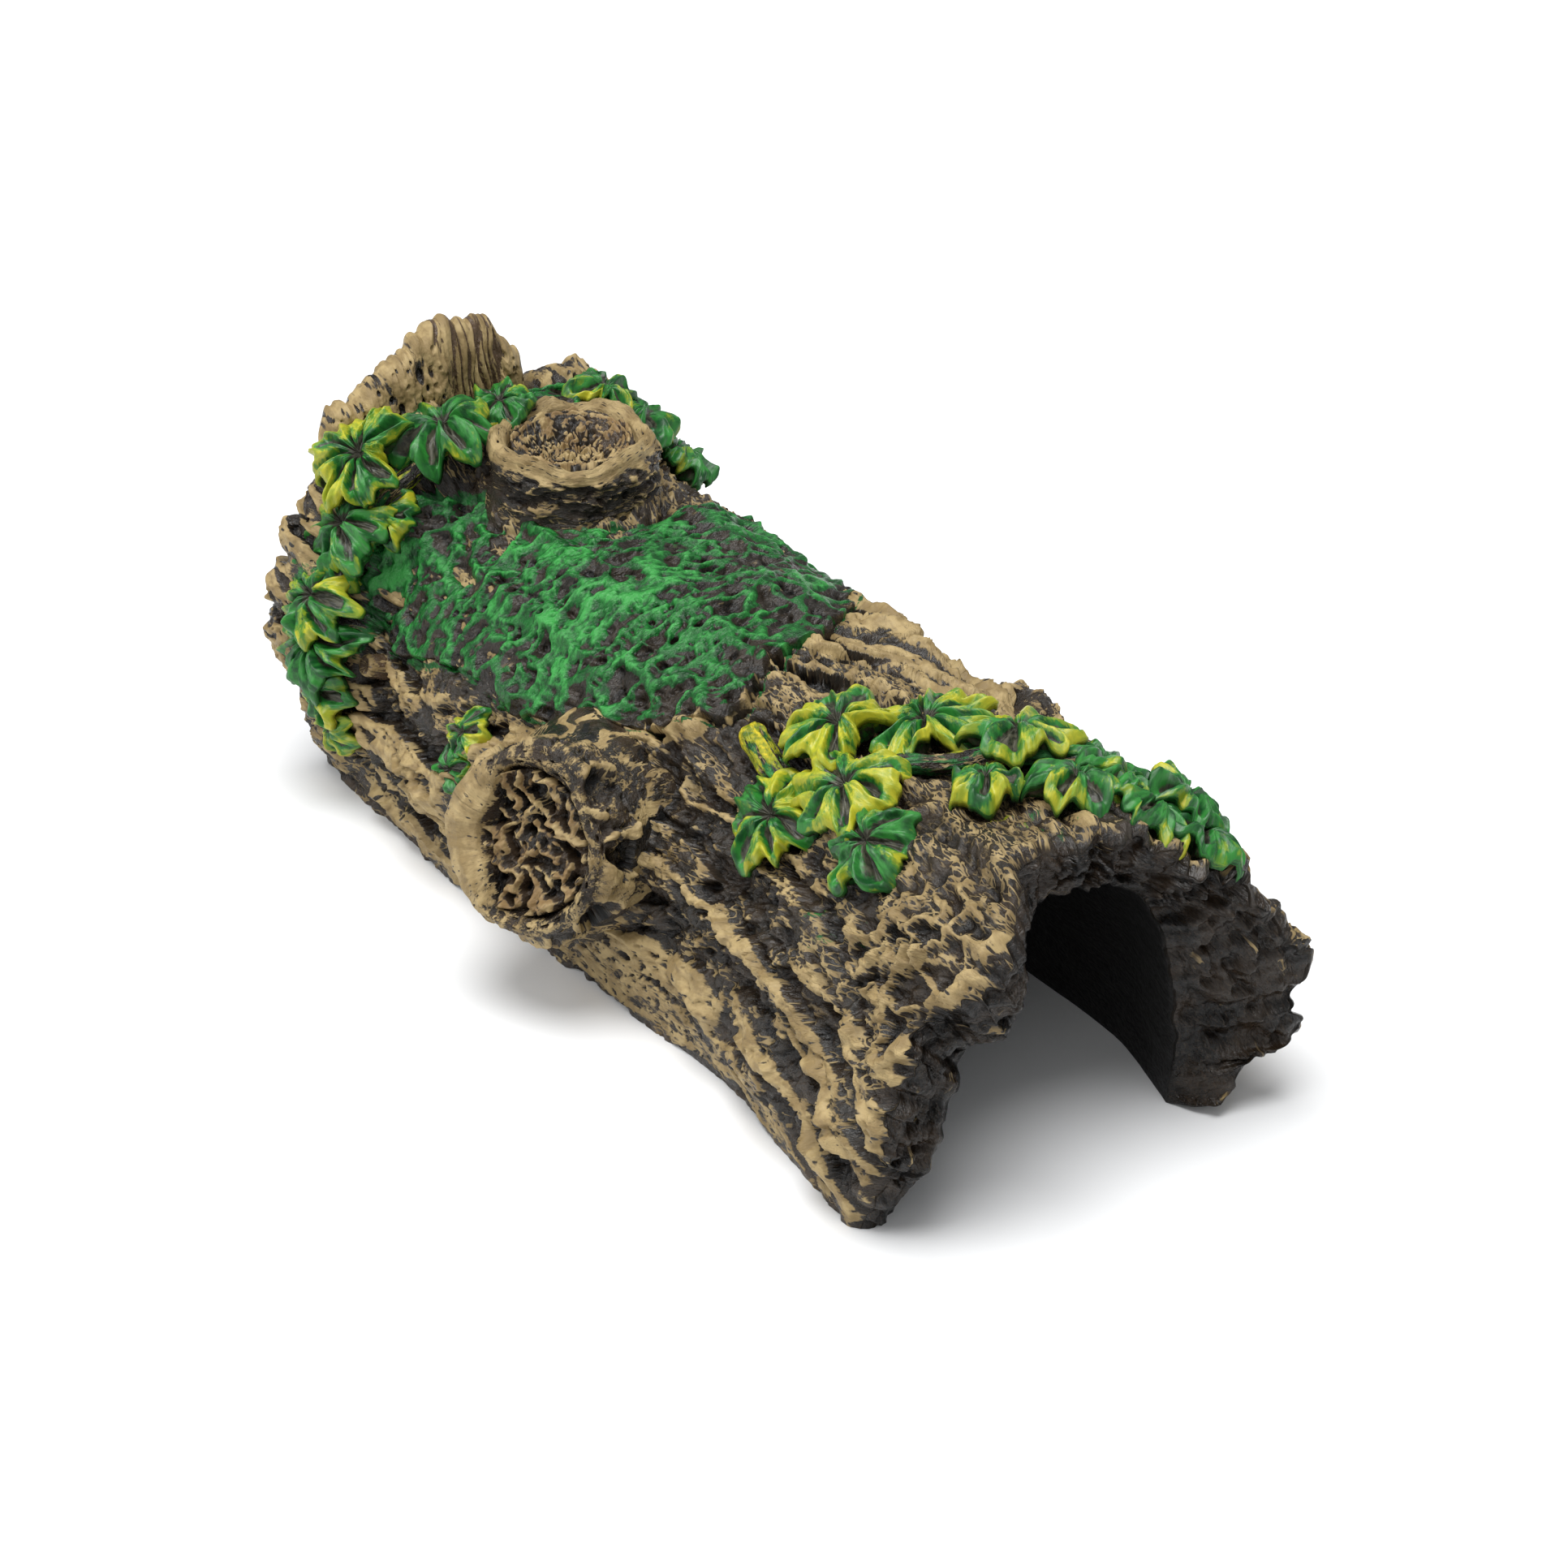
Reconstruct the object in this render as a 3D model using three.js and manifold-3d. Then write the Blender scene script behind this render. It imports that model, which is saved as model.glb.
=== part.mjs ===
// Hollow-log cave ornament for an aquarium: a cast resin half log, open underneath and at both ends, with
// sawn limb stubs, broken splinters at the rear, a moss mat and two garlands of lobed leaves.
// Millimetres, +Z up, +X towards the mouth, +Y towards the log's right side.
import * as THREE from "three";
import { mergeVertices } from "three/addons/utils/BufferGeometryUtils.js";
import Module from "manifold-3d";

const wasm = await Module();
wasm.setup();

// ---- Driving dimensions -------------------------------------------------------------------------------

const WALL_SIDE = 10; // resin left between tunnel and outside, at the sides
const WALL_ROOF = 11; // and at the roof
const JOINT_GAP = 0.3; // glue line between neighbouring pieces
const SQUARENESS = 2.4; // 2 is an ellipse, more is boxier
const RELIEF = 1.5; // depth of the large bark furrows

// Outline of the log at stations along its length: ground lines left and right, roof height, and how far
// each side bellies out past its ground line.
const STATIONS = [
  { x: -92, left: -41, right: 30, top: 56, bellyLeft: 2, bellyRight: 3 },
  { x: -80, left: -41, right: 31, top: 55, bellyLeft: 2, bellyRight: 3 },
  { x: -66, left: -41, right: 32, top: 53, bellyLeft: 2, bellyRight: 3 },
  { x: -50, left: -41, right: 33, top: 51, bellyLeft: 2, bellyRight: 3 },
  { x: -30, left: -40, right: 33, top: 51, bellyLeft: 2, bellyRight: 3 },
  { x: -5, left: -37, right: 34, top: 50, bellyLeft: 1, bellyRight: 4 },
  { x: 15, left: -35, right: 34, top: 49, bellyLeft: 1, bellyRight: 4 },
  { x: 35, left: -33, right: 34, top: 50, bellyLeft: 1, bellyRight: 4 },
  { x: 58, left: -34, right: 34, top: 53, bellyLeft: 1, bellyRight: 5 },
  { x: 80, left: -36, right: 29.5, top: 55, bellyLeft: 0, bellyRight: 10 },
  { x: 98, left: -37, right: 29, top: 55, bellyLeft: 0, bellyRight: 10 },
];
// The rear end flares like a root collar: how far it stands out at each angle, and where it starts.
const COLLAR = [
  [40, 0], [60, 1.5], [80, 4], [95, 6.5], [110, 9.5], [125, 11], [140, 10], [150, 9], [158, 7], [168, 3.5],
  [180, 0],
];
const COLLAR_START = -62;
const COLLAR_FULL = -76;

// Broken ends of the log: [angle round the log from the right foot, x of the edge].
const FRONT_RIM = [
  [0, 82], [15, 84], [35, 83], [55, 81], [75, 80], [90, 79], [104, 86],
  [117, 94], [127, 96], [135, 90], [142, 85], [150, 86], [162, 85], [172, 82], [180, 76],
];
const REAR_RIM = [
  [0, -80], [14, -84], [26, -79], [42, -85], [60, -80], [76, -84], [92, -82],
  [115, -84], [132, -80], [142, -86], [151, -80], [160, -86], [170, -83], [180, -84],
];
// How far the tunnel's edge sits back from the outer edge at the mouth.
const MOUTH_BEVEL = [[0, 8], [40, 8], [70, 5], [90, 2], [130, 2], [180, 1]];

// The plank that stands highest at the rear, and the lower splinters beside it.
const TALL_SPLINTER = {
  outline: [
    [-34, 46], [-4, 50], [1, 55], [0, 60.5], [-3.5, 64], [-6, 68.5], [-10.5, 70], [-14.5, 74], [-18, 72.5],
    [-21.5, 70], [-26, 68], [-31, 64.5], [-35, 63], [-37.5, 58], [-36, 51],
  ],
  back: -85, front: -77.5, lean: 0.12,
};
const SPLINTERS = [
  { name: "rear_splinter_upper", from: -73, to: -88, angles: [130, 144], height: 3.5 },
  { name: "rear_splinter_lower", from: -74, to: -88, angles: [146, 160], height: 2.5 },
  { name: "rear_splinter_right", from: -74, to: -88, angles: [64, 83], height: 4.5 },
];

const BARK = { color: 0x5d4e3c, roughness: 0.62, metalness: 0 };
const CUT_WOOD = { color: 0x9a7f52, roughness: 0.58, metalness: 0 };
const MOSS = { color: 0x1f8a3c, roughness: 0.55, metalness: 0 };
const LEAF = { color: 0x4d9a2b, roughness: 0.5, metalness: 0 };

// ---- Small maths --------------------------------------------------------------------------------------

const degrees = THREE.MathUtils.degToRad;
const lerp = THREE.MathUtils.lerp;

// A smooth function through [input, output] pairs, level beyond both ends.
function curve(pairs) {
  const slope = (i) => {
    const a = pairs[Math.max(i - 1, 0)];
    const b = pairs[Math.min(i + 1, pairs.length - 1)];
    return (b[1] - a[1]) / (b[0] - a[0]);
  };
  return (input) => {
    if (input <= pairs[0][0]) return pairs[0][1];
    if (input >= pairs.at(-1)[0]) return pairs.at(-1)[1];
    const i = pairs.findIndex((pair) => pair[0] > input) - 1;
    const span = pairs[i + 1][0] - pairs[i][0];
    const t = (input - pairs[i][0]) / span;
    const rise = (3 - 2 * t) * t * t;
    const enter = slope(i) * span * t * (1 - t) * (1 - t);
    const leave = slope(i + 1) * span * t * t * (t - 1);
    return lerp(pairs[i][1], pairs[i + 1][1], rise) + enter + leave;
  };
}

const hash = (i, j, k) => {
  const s = Math.sin(i * 127.1 + j * 311.7 + k * 74.7) * 43758.5453;
  return s - Math.floor(s);
};

// Smooth value noise from -1 to 1.
function noise(x, y, z = 0) {
  const [i, j, k] = [x, y, z].map(Math.floor);
  const [u, v, w] = [x - i, y - j, z - k].map((t) => t * t * (3 - 2 * t));
  const edge = (dj, dk) => lerp(hash(i, j + dj, k + dk), hash(i + 1, j + dj, k + dk), u);
  return 2 * lerp(lerp(edge(0, 0), edge(1, 0), v), lerp(edge(0, 1), edge(1, 1), v), w) - 1;
}

// ---- The log's surface --------------------------------------------------------------------------------

const profile = Object.fromEntries(
  ["left", "right", "top", "bellyLeft", "bellyRight"].map((key) => [
    key,
    curve(STATIONS.map((station) => [station.x, station[key]])),
  ]),
);
const frontRim = curve(FRONT_RIM);
const rearRim = curve(REAR_RIM);
const mouthBevel = curve(MOUTH_BEVEL);
const collar = curve(COLLAR);

// A point of the log's cross-section at x. angle runs from 0 at the right foot over the roof to 180 at the
// left foot; inset is 0 outside and 1 on the tunnel's wall.
function section(x, angle, inset = 0) {
  const left = profile.left(x) + inset * WALL_SIDE;
  const right = profile.right(x) - inset * WALL_SIDE;
  const top = profile.top(x) - inset * WALL_ROOF;
  const cos = Math.cos(degrees(angle));
  const sin = Math.max(Math.sin(degrees(angle)), 0);
  const height = angle <= 0 || angle >= 180 ? 0 : sin ** (2 / SQUARENESS);
  const across = Math.sign(cos) * Math.abs(cos) ** (2 / SQUARENESS);
  const belly = (1 - inset) * Math.sin(Math.PI * Math.min(height / 0.8, 1));
  const bulge = cos > 0 ? belly * profile.bellyRight(x) : -belly * profile.bellyLeft(x);
  return new THREE.Vector3(x, lerp(left, right, (across + 1) / 2) + bulge, top * height);
}

// Bark furrows that run along the log with lumps between them, and the collar at the rear.
function relief(x, angle) {
  const fade = Math.min(Math.sin(degrees(angle)) * 6, 1);
  const furrows = 1 - 2 * Math.abs(noise(x / 24, angle / 9, 3));
  const lumps = noise(x / 11, angle / 14, 7);
  const flare = collar(angle) * THREE.MathUtils.smoothstep(-x, -COLLAR_START, -COLLAR_FULL);
  return RELIEF * fade * (0.6 * furrows + 0.7 * lumps) + flare;
}

// Outer surface point, outward normal, and the directions along the log and round it.
function skin(x, angle) {
  const at = section(x, angle);
  const along = section(x + 1, angle).sub(section(x - 1, angle)).normalize();
  const round = section(x, angle + 1).sub(section(x, angle - 1)).normalize();
  const normal = round.clone().cross(along).normalize();
  at.addScaledVector(normal, relief(x, angle));
  return { at, normal, along, round };
}

// ---- Solids -------------------------------------------------------------------------------------------

// Moves every vertex of a closed geometry by place(x, y, z), and merges the seams.
function shaped(geometry, place) {
  geometry.deleteAttribute("normal");
  geometry.deleteAttribute("uv");
  const merged = mergeVertices(geometry, 1e-4);
  const position = merged.attributes.position;
  for (let i = 0; i < position.count; i++) {
    const p = place(position.getX(i), position.getY(i), position.getZ(i));
    position.setXYZ(i, p.x, p.y, p.z);
  }
  return merged;
}

function solidOf(geometry) {
  const merged = mergeVertices(geometry, 1e-3);
  const triVerts = new Uint32Array(merged.index.array);
  const mesh = new wasm.Mesh({ numProp: 3, vertProperties: merged.attributes.position.array, triVerts });
  const solid = new wasm.Manifold(mesh);
  if (solid.volume() > 0) return solid;
  for (let i = 0; i < triVerts.length; i += 3) {
    [triVerts[i + 1], triVerts[i + 2]] = [triVerts[i + 2], triVerts[i + 1]];
  }
  return new wasm.Manifold(
    new wasm.Mesh({ numProp: 3, vertProperties: merged.attributes.position.array, triVerts }),
  );
}

function geometryOf(solid) {
  const mesh = solid.getMesh();
  return new THREE.BufferGeometry()
    .setAttribute("position", new THREE.BufferAttribute(new Float32Array(mesh.vertProperties), 3))
    .setIndex(new THREE.BufferAttribute(new Uint32Array(mesh.triVerts), 1));
}

// The solid with its skin moved out by the joint gap, for trimming the pieces that sit on it.
function grown(solid) {
  const geometry = mergeVertices(geometryOf(solid), 1e-3);
  geometry.computeVertexNormals();
  const { position, normal } = geometry.attributes;
  for (let i = 0; i < position.count; i++) {
    position.setXYZ(
      i,
      position.getX(i) + JOINT_GAP * normal.getX(i),
      position.getY(i) + JOINT_GAP * normal.getY(i),
      position.getZ(i) + JOINT_GAP * normal.getZ(i),
    );
  }
  geometry.deleteAttribute("normal");
  return solidOf(geometry);
}

const largest = (solid) =>
  solid.decompose().reduce((best, body) => (body.volume() > best.volume() ? body : best));

// ---- Assembly -----------------------------------------------------------------------------------------

const ornament = new THREE.Group();
ornament.name = "log_cave_ornament";
const placed = []; // the pieces already there, uncut and grown by the joint gap

// Adds a piece: local geometry, its pose in the log's frame, and a material. What it shares with the
// pieces already placed is cut away, so that each later piece sits on the earlier ones.
function add(name, geometry, look, pose = new THREE.Matrix4()) {
  const whole = solidOf(geometry.clone().applyMatrix4(pose));
  let solid = whole;
  for (const other of placed) solid = solid.subtract(other);
  solid = largest(solid);
  placed.push(grown(whole).add(whole));
  const mesh = new THREE.Mesh(
    geometryOf(solid).applyMatrix4(pose.clone().invert()),
    new THREE.MeshStandardMaterial(look),
  );
  mesh.name = name;
  mesh.applyMatrix4(pose);
  ornament.add(mesh);
}

// A frame standing on the log's skin: local +Z is the outward normal, local +X points along the log turned
// by heading towards the left foot, and tilt lifts the +X side.
function standing({ x, angle, heading = 0, tilt = 0, lift = 0 }) {
  const { at, normal, along, round } = skin(x, angle);
  const forward = along
    .clone()
    .multiplyScalar(Math.cos(degrees(heading)))
    .addScaledVector(round, Math.sin(degrees(heading)))
    .normalize();
  const side = normal.clone().cross(forward);
  return new THREE.Matrix4()
    .makeBasis(forward, side, normal)
    .setPosition(at.addScaledVector(normal, lift))
    .multiply(new THREE.Matrix4().makeRotationY(-degrees(tilt)));
}

// ---- Log shell ----------------------------------------------------------------------------------------

// The shell is a block bent into an arch: its width goes round the log, its height through the wall and
// its depth along the log.
function logShell() {
  const around = 30;
  const along = 30;
  const through = 1;
  return shaped(new THREE.BoxGeometry(1, 1, 1, around, through, along), (bx, by, bz) => {
    const angle = 180 * (0.5 - bx);
    const inset = 0.5 - by;
    const front = frontRim(angle) - inset * mouthBevel(angle);
    const x = lerp(rearRim(angle), front, bz + 0.5);
    const p = section(x, angle, inset);
    const rough = (1 - inset) * relief(x, angle) + inset * 0.5 * noise(x / 9, angle / 12, 11);
    const outward = new THREE.Vector3(0, p.y, p.z * 1.2).normalize();
    const foot = angle <= 0.01 || angle >= 179.99;
    p.addScaledVector(outward, rough);
    if (foot) p.z = 0;
    return p;
  });
}

// ---- Splinters at the broken rear end -----------------------------------------------------------------

// A splinter that grows out of the skin: it covers a range of angles, and rises from nothing at x = from to
// its full height towards x = to.
function splinter({ from, to, angles, height }) {
  const steps = 8;
  return shaped(new THREE.BoxGeometry(1, 1, 1, steps, 1, steps), (bx, by, bz) => {
    const s = bx + 0.5;
    const t = bz + 0.5;
    const angle = lerp(angles[0], angles[1], s);
    const x = lerp(from, to, t) - 2 * t * noise(angle / 7, 5);
    const { at, normal } = skin(x, angle);
    const crest = Math.sqrt(Math.max(Math.sin(Math.PI * s), 0));
    const rise = height * crest * Math.sin((Math.PI / 2) * Math.min(t * 1.25, 1));
    const chip = 1.1 * noise(angle / 6, x / 5, 2);
    return at.addScaledVector(normal, lerp(-4, rise + chip, by + 0.5));
  });
}

// A broken plank that stands up from the collar: its outline across the log in [y, z], and its thickness.
function slab({ outline, back, front, lean }) {
  const shape = new THREE.Shape(outline.map(([y, z]) => new THREE.Vector2(y, z)));
  const foot = outline[0][1];
  const made = new THREE.ExtrudeGeometry(shape, { depth: front - back, bevelEnabled: false, steps: 3 });
  return shaped(made, (y, z, depth) => {
    const rough = 0.9 * noise(y / 4, z / 5, depth / 3);
    return new THREE.Vector3(back + depth - lean * (z - foot) + rough, y + 0.5 * rough, z + 0.5 * rough);
  });
}

// ---- Limb stubs ---------------------------------------------------------------------------------------

// A sawn limb: a ring of bark with a raised lip round a sunken core. Local +Y is the limb's axis, with its
// origin at the centre of the cut.
function limbRing({ radius, lip, sunk, root, flare }) {
  const inner = radius - lip;
  const outline = [
    [inner, -sunk - 3], [radius + flare, -root], [radius + flare * 0.35, -root * 0.5], [radius, -1.5],
    [radius - lip * 0.35, 0], [inner + lip * 0.2, -0.6], [inner, -sunk * 0.6], [inner, -sunk - 3],
  ].map(([r, y]) => new THREE.Vector2(r, y));
  return shaped(new THREE.LatheGeometry(outline, 22), (x, y, z) => {
    const turn = Math.atan2(z, x);
    const wobble = 1 + 0.07 * noise(Math.cos(turn) * 2, Math.sin(turn) * 2, y / 5);
    return new THREE.Vector3(x * wobble, y + 0.5 * noise(x / 4, z / 4), z * wobble);
  });
}

function limbCore({ radius, lip, sunk, root }) {
  const inner = radius - lip - 0.9;
  const outline = [
    [0, -root], [inner, -root], [inner, -sunk], [inner * 0.66, -sunk - 0.6], [inner * 0.33, -sunk + 0.4],
    [0, -sunk + 0.2],
  ].map(([r, y]) => new THREE.Vector2(r, y));
  return shaped(new THREE.LatheGeometry(outline, 16), (x, y, z) => {
    const top = y > -sunk - 1 ? 0.5 * noise(x / 3, z / 3, 4) : 0;
    return new THREE.Vector3(x * 0.98, y + top, z * 0.98);
  });
}

// Pose with local +Y along axis and its origin at the point at.
function facing(at, axis, squash = 1) {
  const turn = new THREE.Quaternion().setFromUnitVectors(
    new THREE.Vector3(0, 1, 0),
    new THREE.Vector3(...axis).normalize(),
  );
  return new THREE.Matrix4().compose(new THREE.Vector3(...at), turn, new THREE.Vector3(squash, 1, 1));
}

// ---- Moss ---------------------------------------------------------------------------------------------

// A mat that follows the skin inside a closed outline of [x, angle] points, as thick as rise says at each x.
function mat({ centre, outline, rise, rings, spokes }) {
  const loop = new THREE.CatmullRomCurve3(
    outline.map(([x, angle]) => new THREE.Vector3(x, angle, 0)),
    true,
  );
  return shaped(new THREE.SphereGeometry(1, spokes, rings), (sx, sy, sz) => {
    const edge = loop.getPoint((Math.atan2(sz, sx) / (2 * Math.PI) + 1) % 1);
    const reach = Math.min(Math.hypot(sx, sz), 1);
    const x = lerp(centre[0], edge.x, reach);
    const angle = lerp(centre[1], edge.y, reach);
    const { at, normal } = skin(x, angle);
    const full = rise(x) * (sy > 0 ? 1 - 0.25 * reach ** 4 : -0.6) + 0.4 * noise(x / 4, angle / 5, 9);
    return at.addScaledVector(normal, Math.abs(sy) < 1e-3 ? rise(x) * 0.35 : full);
  });
}

// ---- Vines and leaves ---------------------------------------------------------------------------------

// A round stem that lies on the skin through [x, angle] points.
function stem({ through, radius, steps }) {
  const path = new THREE.CatmullRomCurve3(
    through.map(([x, angle]) => {
      const { at, normal } = skin(x, angle);
      return at.addScaledVector(normal, radius * 0.5);
    }),
  );
  const round = new THREE.Shape().absarc(0, 0, radius, 0, 2 * Math.PI);
  const made = new THREE.ExtrudeGeometry(round, { steps, curveSegments: 4, extrudePath: path });
  return shaped(made, (x, y, z) => new THREE.Vector3(x, y, z));
}

// A lobed leaf lying in local XY with its stalk end towards -X. Each lobe is a channel with raised sides,
// and the tips curl down. The underside has a boss at the middle that roots it on the log.
function leaf({ size, lobes, curl }) {
  const radius = size / 2;
  const spread = degrees(310) / lobes;
  const thick = 1.7;
  const boss = 6;
  return shaped(new THREE.SphereGeometry(1, lobes * 4, 4), (sx, sy, sz) => {
    const turn = Math.atan2(sz, sx);
    const out = Math.min(Math.hypot(sx, sz), 1);
    const phase = Math.cos((2 * Math.PI * turn) / spread + (lobes % 2 ? 0 : Math.PI));
    const stalkSide = Math.max(Math.abs(turn) - degrees(155), 0) / degrees(25);
    const edge = radius * (0.8 + 0.2 * phase) * (1 - 0.45 * stalkSide);
    const channel = -0.09 * size * phase * out * (1 - 0.5 * out);
    const top = channel - curl * size * out ** 2.5;
    const lower = thick * (sy < -1e-3 ? 1 : 0.5) + (sy < -1e-3 ? boss * (1 - out) ** 1.5 : 0);
    const z = top - (sy > 1e-3 ? 0 : lower);
    return new THREE.Vector3(edge * out * Math.cos(turn), -edge * out * Math.sin(turn), z);
  });
}

// ---- Build --------------------------------------------------------------------------------------------

add("log_shell", logShell(), BARK);

add("rear_splinter_tall", slab(TALL_SPLINTER), BARK);
for (const { name, ...shape } of SPLINTERS) add(name, splinter(shape), BARK);

const limbs = [
  {
    name: "top_knot", at: [-59.5, -4.5, 62], axis: [0.04, 0, 1], squash: 0.97,
    size: { radius: 13.8, lip: 3.4, sunk: 3.5, root: 17, flare: 2.5 },
  },
  {
    name: "left_limb", at: [1.5, -49, 27.5], axis: [0.35, -0.85, 0.28], squash: 1,
    size: { radius: 13, lip: 3, sunk: 3, root: 23, flare: 6 },
  },
  {
    name: "right_limb", at: [24, 37, 33.5], axis: [0.05, 0.85, 0.45], squash: 1.15,
    size: { radius: 11, lip: 3, sunk: 2.5, root: 19, flare: 5 },
  },
];
for (const { name, at, axis, squash, size } of limbs) {
  add(`${name}_ring`, limbRing(size), BARK, facing(at, axis, squash));
  add(`${name}_core`, limbCore(size), CUT_WOOD, facing(at, axis, squash));
}

add(
  "moss_mat",
  mat({
    centre: [-28, 104],
    outline: [
      [15, 112], [6, 124], [-8, 135], [-26, 142], [-40, 141], [-60, 148], [-68, 140], [-70, 124], [-63, 108],
      [-44, 94], [-45, 62], [-36, 46], [-20, 50], [-2, 72], [8, 96],
    ],
    rise: curve([[-70, 1], [-50, 1.6], [-20, 2.6], [0, 3.8], [15, 4.4]]),
    rings: 9,
    spokes: 34,
  }),
  MOSS,
);
add(
  "moss_patch_rear",
  mat({
    centre: [-76, 80],
    outline: [[-72, 72], [-73, 92], [-77, 96], [-80, 82], [-80, 66], [-76, 62]],
    rise: () => 1.8,
    rings: 6,
    spokes: 20,
  }),
  MOSS,
);

const stems = [
  { name: "vine_front", radius: 1.8, steps: 20, through: [[30, 128], [40, 112], [47, 96], [55, 78], [72, 42]] },
  { name: "vine_rear", radius: 1.8, steps: 20, through: [[-73, 90], [-72, 108], [-71, 128], [-70, 168]] },
  { name: "twig_front", radius: 1.7, steps: 10, through: [[18, 113], [26, 117], [35, 121]] },
  { name: "vine_right", radius: 1.5, steps: 12, through: [[-76, 76], [-74, 64], [-72, 50]] },
];
for (const { name, through, radius, steps } of stems) {
  add(name, stem({ through, radius, steps }), LEAF);
}

const peg = shaped(new THREE.CylinderGeometry(1.9, 2.1, 5, 14), (x, y, z) => new THREE.Vector3(x, z, y + 0.4));
add("twig_peg", peg, BARK, standing({ x: -62, angle: 153 }));

// Leaves, in the order in which they overlap: later ones tuck under earlier ones. Each row gives the place
// on the log (x, angle), the size across, the number of lobes, where the tip points (0 towards the mouth, 90
// down the left side), the tilt of the tip, the lift off the bark, and how far the tips curl down.
const leaves = {
  leaf_front_01: [36, 128, 19, 5, 120, 8, 4, 0.1],
  leaf_front_02: [32, 102, 20, 5, 170, 4, 5, 0.1],
  leaf_front_03: [38, 89, 22, 7, -60, 10, 5.5, 0.08],
  leaf_front_04: [46, 113, 20, 5, 60, 2, 4, 0.14],
  leaf_front_05: [58, 120, 17, 5, 60, -4, 3, 0.12],
  leaf_front_06: [50, 78, 19, 5, -30, 14, 6, 0.12],
  leaf_front_07: [61, 92, 13, 4, 30, 6, 4.5, 0.12],
  leaf_front_08: [58, 61, 19, 5, -30, 8, 6, 0.06],
  leaf_front_09: [66, 64, 14, 4, -20, 6, 5, 0.14],
  leaf_front_10: [67, 77, 16, 5, 20, 4, 4, 0.14],
  leaf_front_11: [72, 59, 17, 5, 10, -2, 4, 0.12],
  leaf_front_12: [69, 50, 17, 5, -60, 8, 8, 0.1],
  leaf_front_13: [76, 47, 15, 4, -40, 6, 6, 0.12],
  leaf_rear_01: [-77, 121, 21, 7, 140, 6, 6.5, 0.08],
  leaf_rear_02: [-73, 107, 19, 5, 30, 12, 5, 0.16],
  leaf_rear_03: [-69, 127, 11, 4, 20, 0, 3, 0.1],
  leaf_rear_04: [-73, 133, 19, 5, 60, 10, 4.5, 0.18],
  leaf_rear_05: [-72, 139, 14, 4, 90, 0, 3, 0.12],
  leaf_rear_06: [-72, 146, 17, 5, 60, 10, 3.5, 0.16],
  leaf_rear_07: [-71, 153, 21, 7, 120, 4, 3, 0.1],
  leaf_rear_08: [-69, 161, 14, 4, 60, 2, 3.5, 0.12],
  leaf_rear_09: [-69, 168, 12, 4, 90, -6, 3.5, 0.1],
  leaf_rear_10: [-75, 95, 13, 4, -60, 4, 3.5, 0.1],
  leaf_right_01: [-73, 52, 18, 7, -60, 4, 5, 0.1],
  leaf_right_02: [-74, 64, 15, 4, -120, 2, 4.5, 0.1],
  leaf_right_03: [-76, 74, 13, 4, -150, 4, 4, 0.1],
  leaf_middle_01: [-32, 150, 10, 4, 40, 10, 2.5, 0.1],
  leaf_middle_02: [-33, 158, 9, 4, 100, 4, 2, 0.1],
};
for (const [name, [x, angle, size, lobes, heading, tilt, lift, curl]] of Object.entries(leaves)) {
  add(name, leaf({ size, lobes, curl }), LEAF, standing({ x, angle, heading, tilt, lift }));
}

// The origin is the middle of the footprint.
const bounds = new THREE.Box3().setFromObject(ornament, true);
const middle = bounds.getCenter(new THREE.Vector3());
ornament.position.set(-middle.x, -middle.y, 0);

export default ornament;
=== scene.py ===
"""Looks for the hollow-log cave ornament: painted cast resin with bark, moss and leaves, on a pale floor."""

import itertools
import math

import bpy
import numpy as np
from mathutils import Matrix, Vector


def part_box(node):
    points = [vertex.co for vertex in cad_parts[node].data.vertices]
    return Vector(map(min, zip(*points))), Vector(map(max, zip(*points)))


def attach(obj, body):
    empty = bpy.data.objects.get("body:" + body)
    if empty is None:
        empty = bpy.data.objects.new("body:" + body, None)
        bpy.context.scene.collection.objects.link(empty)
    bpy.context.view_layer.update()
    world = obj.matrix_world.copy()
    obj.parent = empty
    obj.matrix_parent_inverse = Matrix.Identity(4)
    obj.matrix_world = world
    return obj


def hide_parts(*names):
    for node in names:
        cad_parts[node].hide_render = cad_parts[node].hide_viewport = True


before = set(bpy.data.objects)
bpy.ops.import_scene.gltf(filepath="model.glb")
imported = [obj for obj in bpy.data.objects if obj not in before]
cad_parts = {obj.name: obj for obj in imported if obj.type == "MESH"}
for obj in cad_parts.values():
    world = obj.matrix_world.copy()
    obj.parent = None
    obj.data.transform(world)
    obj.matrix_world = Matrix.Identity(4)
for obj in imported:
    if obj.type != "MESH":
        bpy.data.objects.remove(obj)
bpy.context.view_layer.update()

# ---- The log's outline, in millimetres, as in the CAD source -------------------------------------

WALL_SIDE, WALL_ROOF = 10.0, 11.0
SQUARENESS = 2.4
RELIEF = 1.5
# x, left and right ground lines, roof height, bellies left and right
STATIONS = [
    (-92, -41, 30, 56, 2, 3), (-80, -41, 31, 55, 2, 3), (-66, -41, 32, 53, 2, 3), (-50, -41, 33, 51, 2, 3),
    (-30, -40, 33, 51, 2, 3), (-5, -37, 34, 50, 1, 4), (15, -35, 34, 49, 1, 4), (35, -33, 34, 50, 1, 4),
    (58, -34, 34, 53, 1, 5), (80, -36, 29.5, 55, 0, 10), (98, -37, 29, 55, 0, 10),
]
COLLAR = [
    (40, 0), (60, 1.5), (80, 4), (95, 6.5), (110, 9.5), (125, 11), (140, 10), (150, 9), (158, 7), (168, 3.5),
    (180, 0),
]
COLLAR_START, COLLAR_FULL = -62.0, -76.0
FRONT_RIM = [
    (0, 82), (15, 84), (35, 83), (55, 81), (75, 80), (90, 79), (104, 86),
    (117, 94), (127, 96), (135, 90), (142, 85), (150, 86), (162, 85), (172, 82), (180, 76),
]
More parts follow.
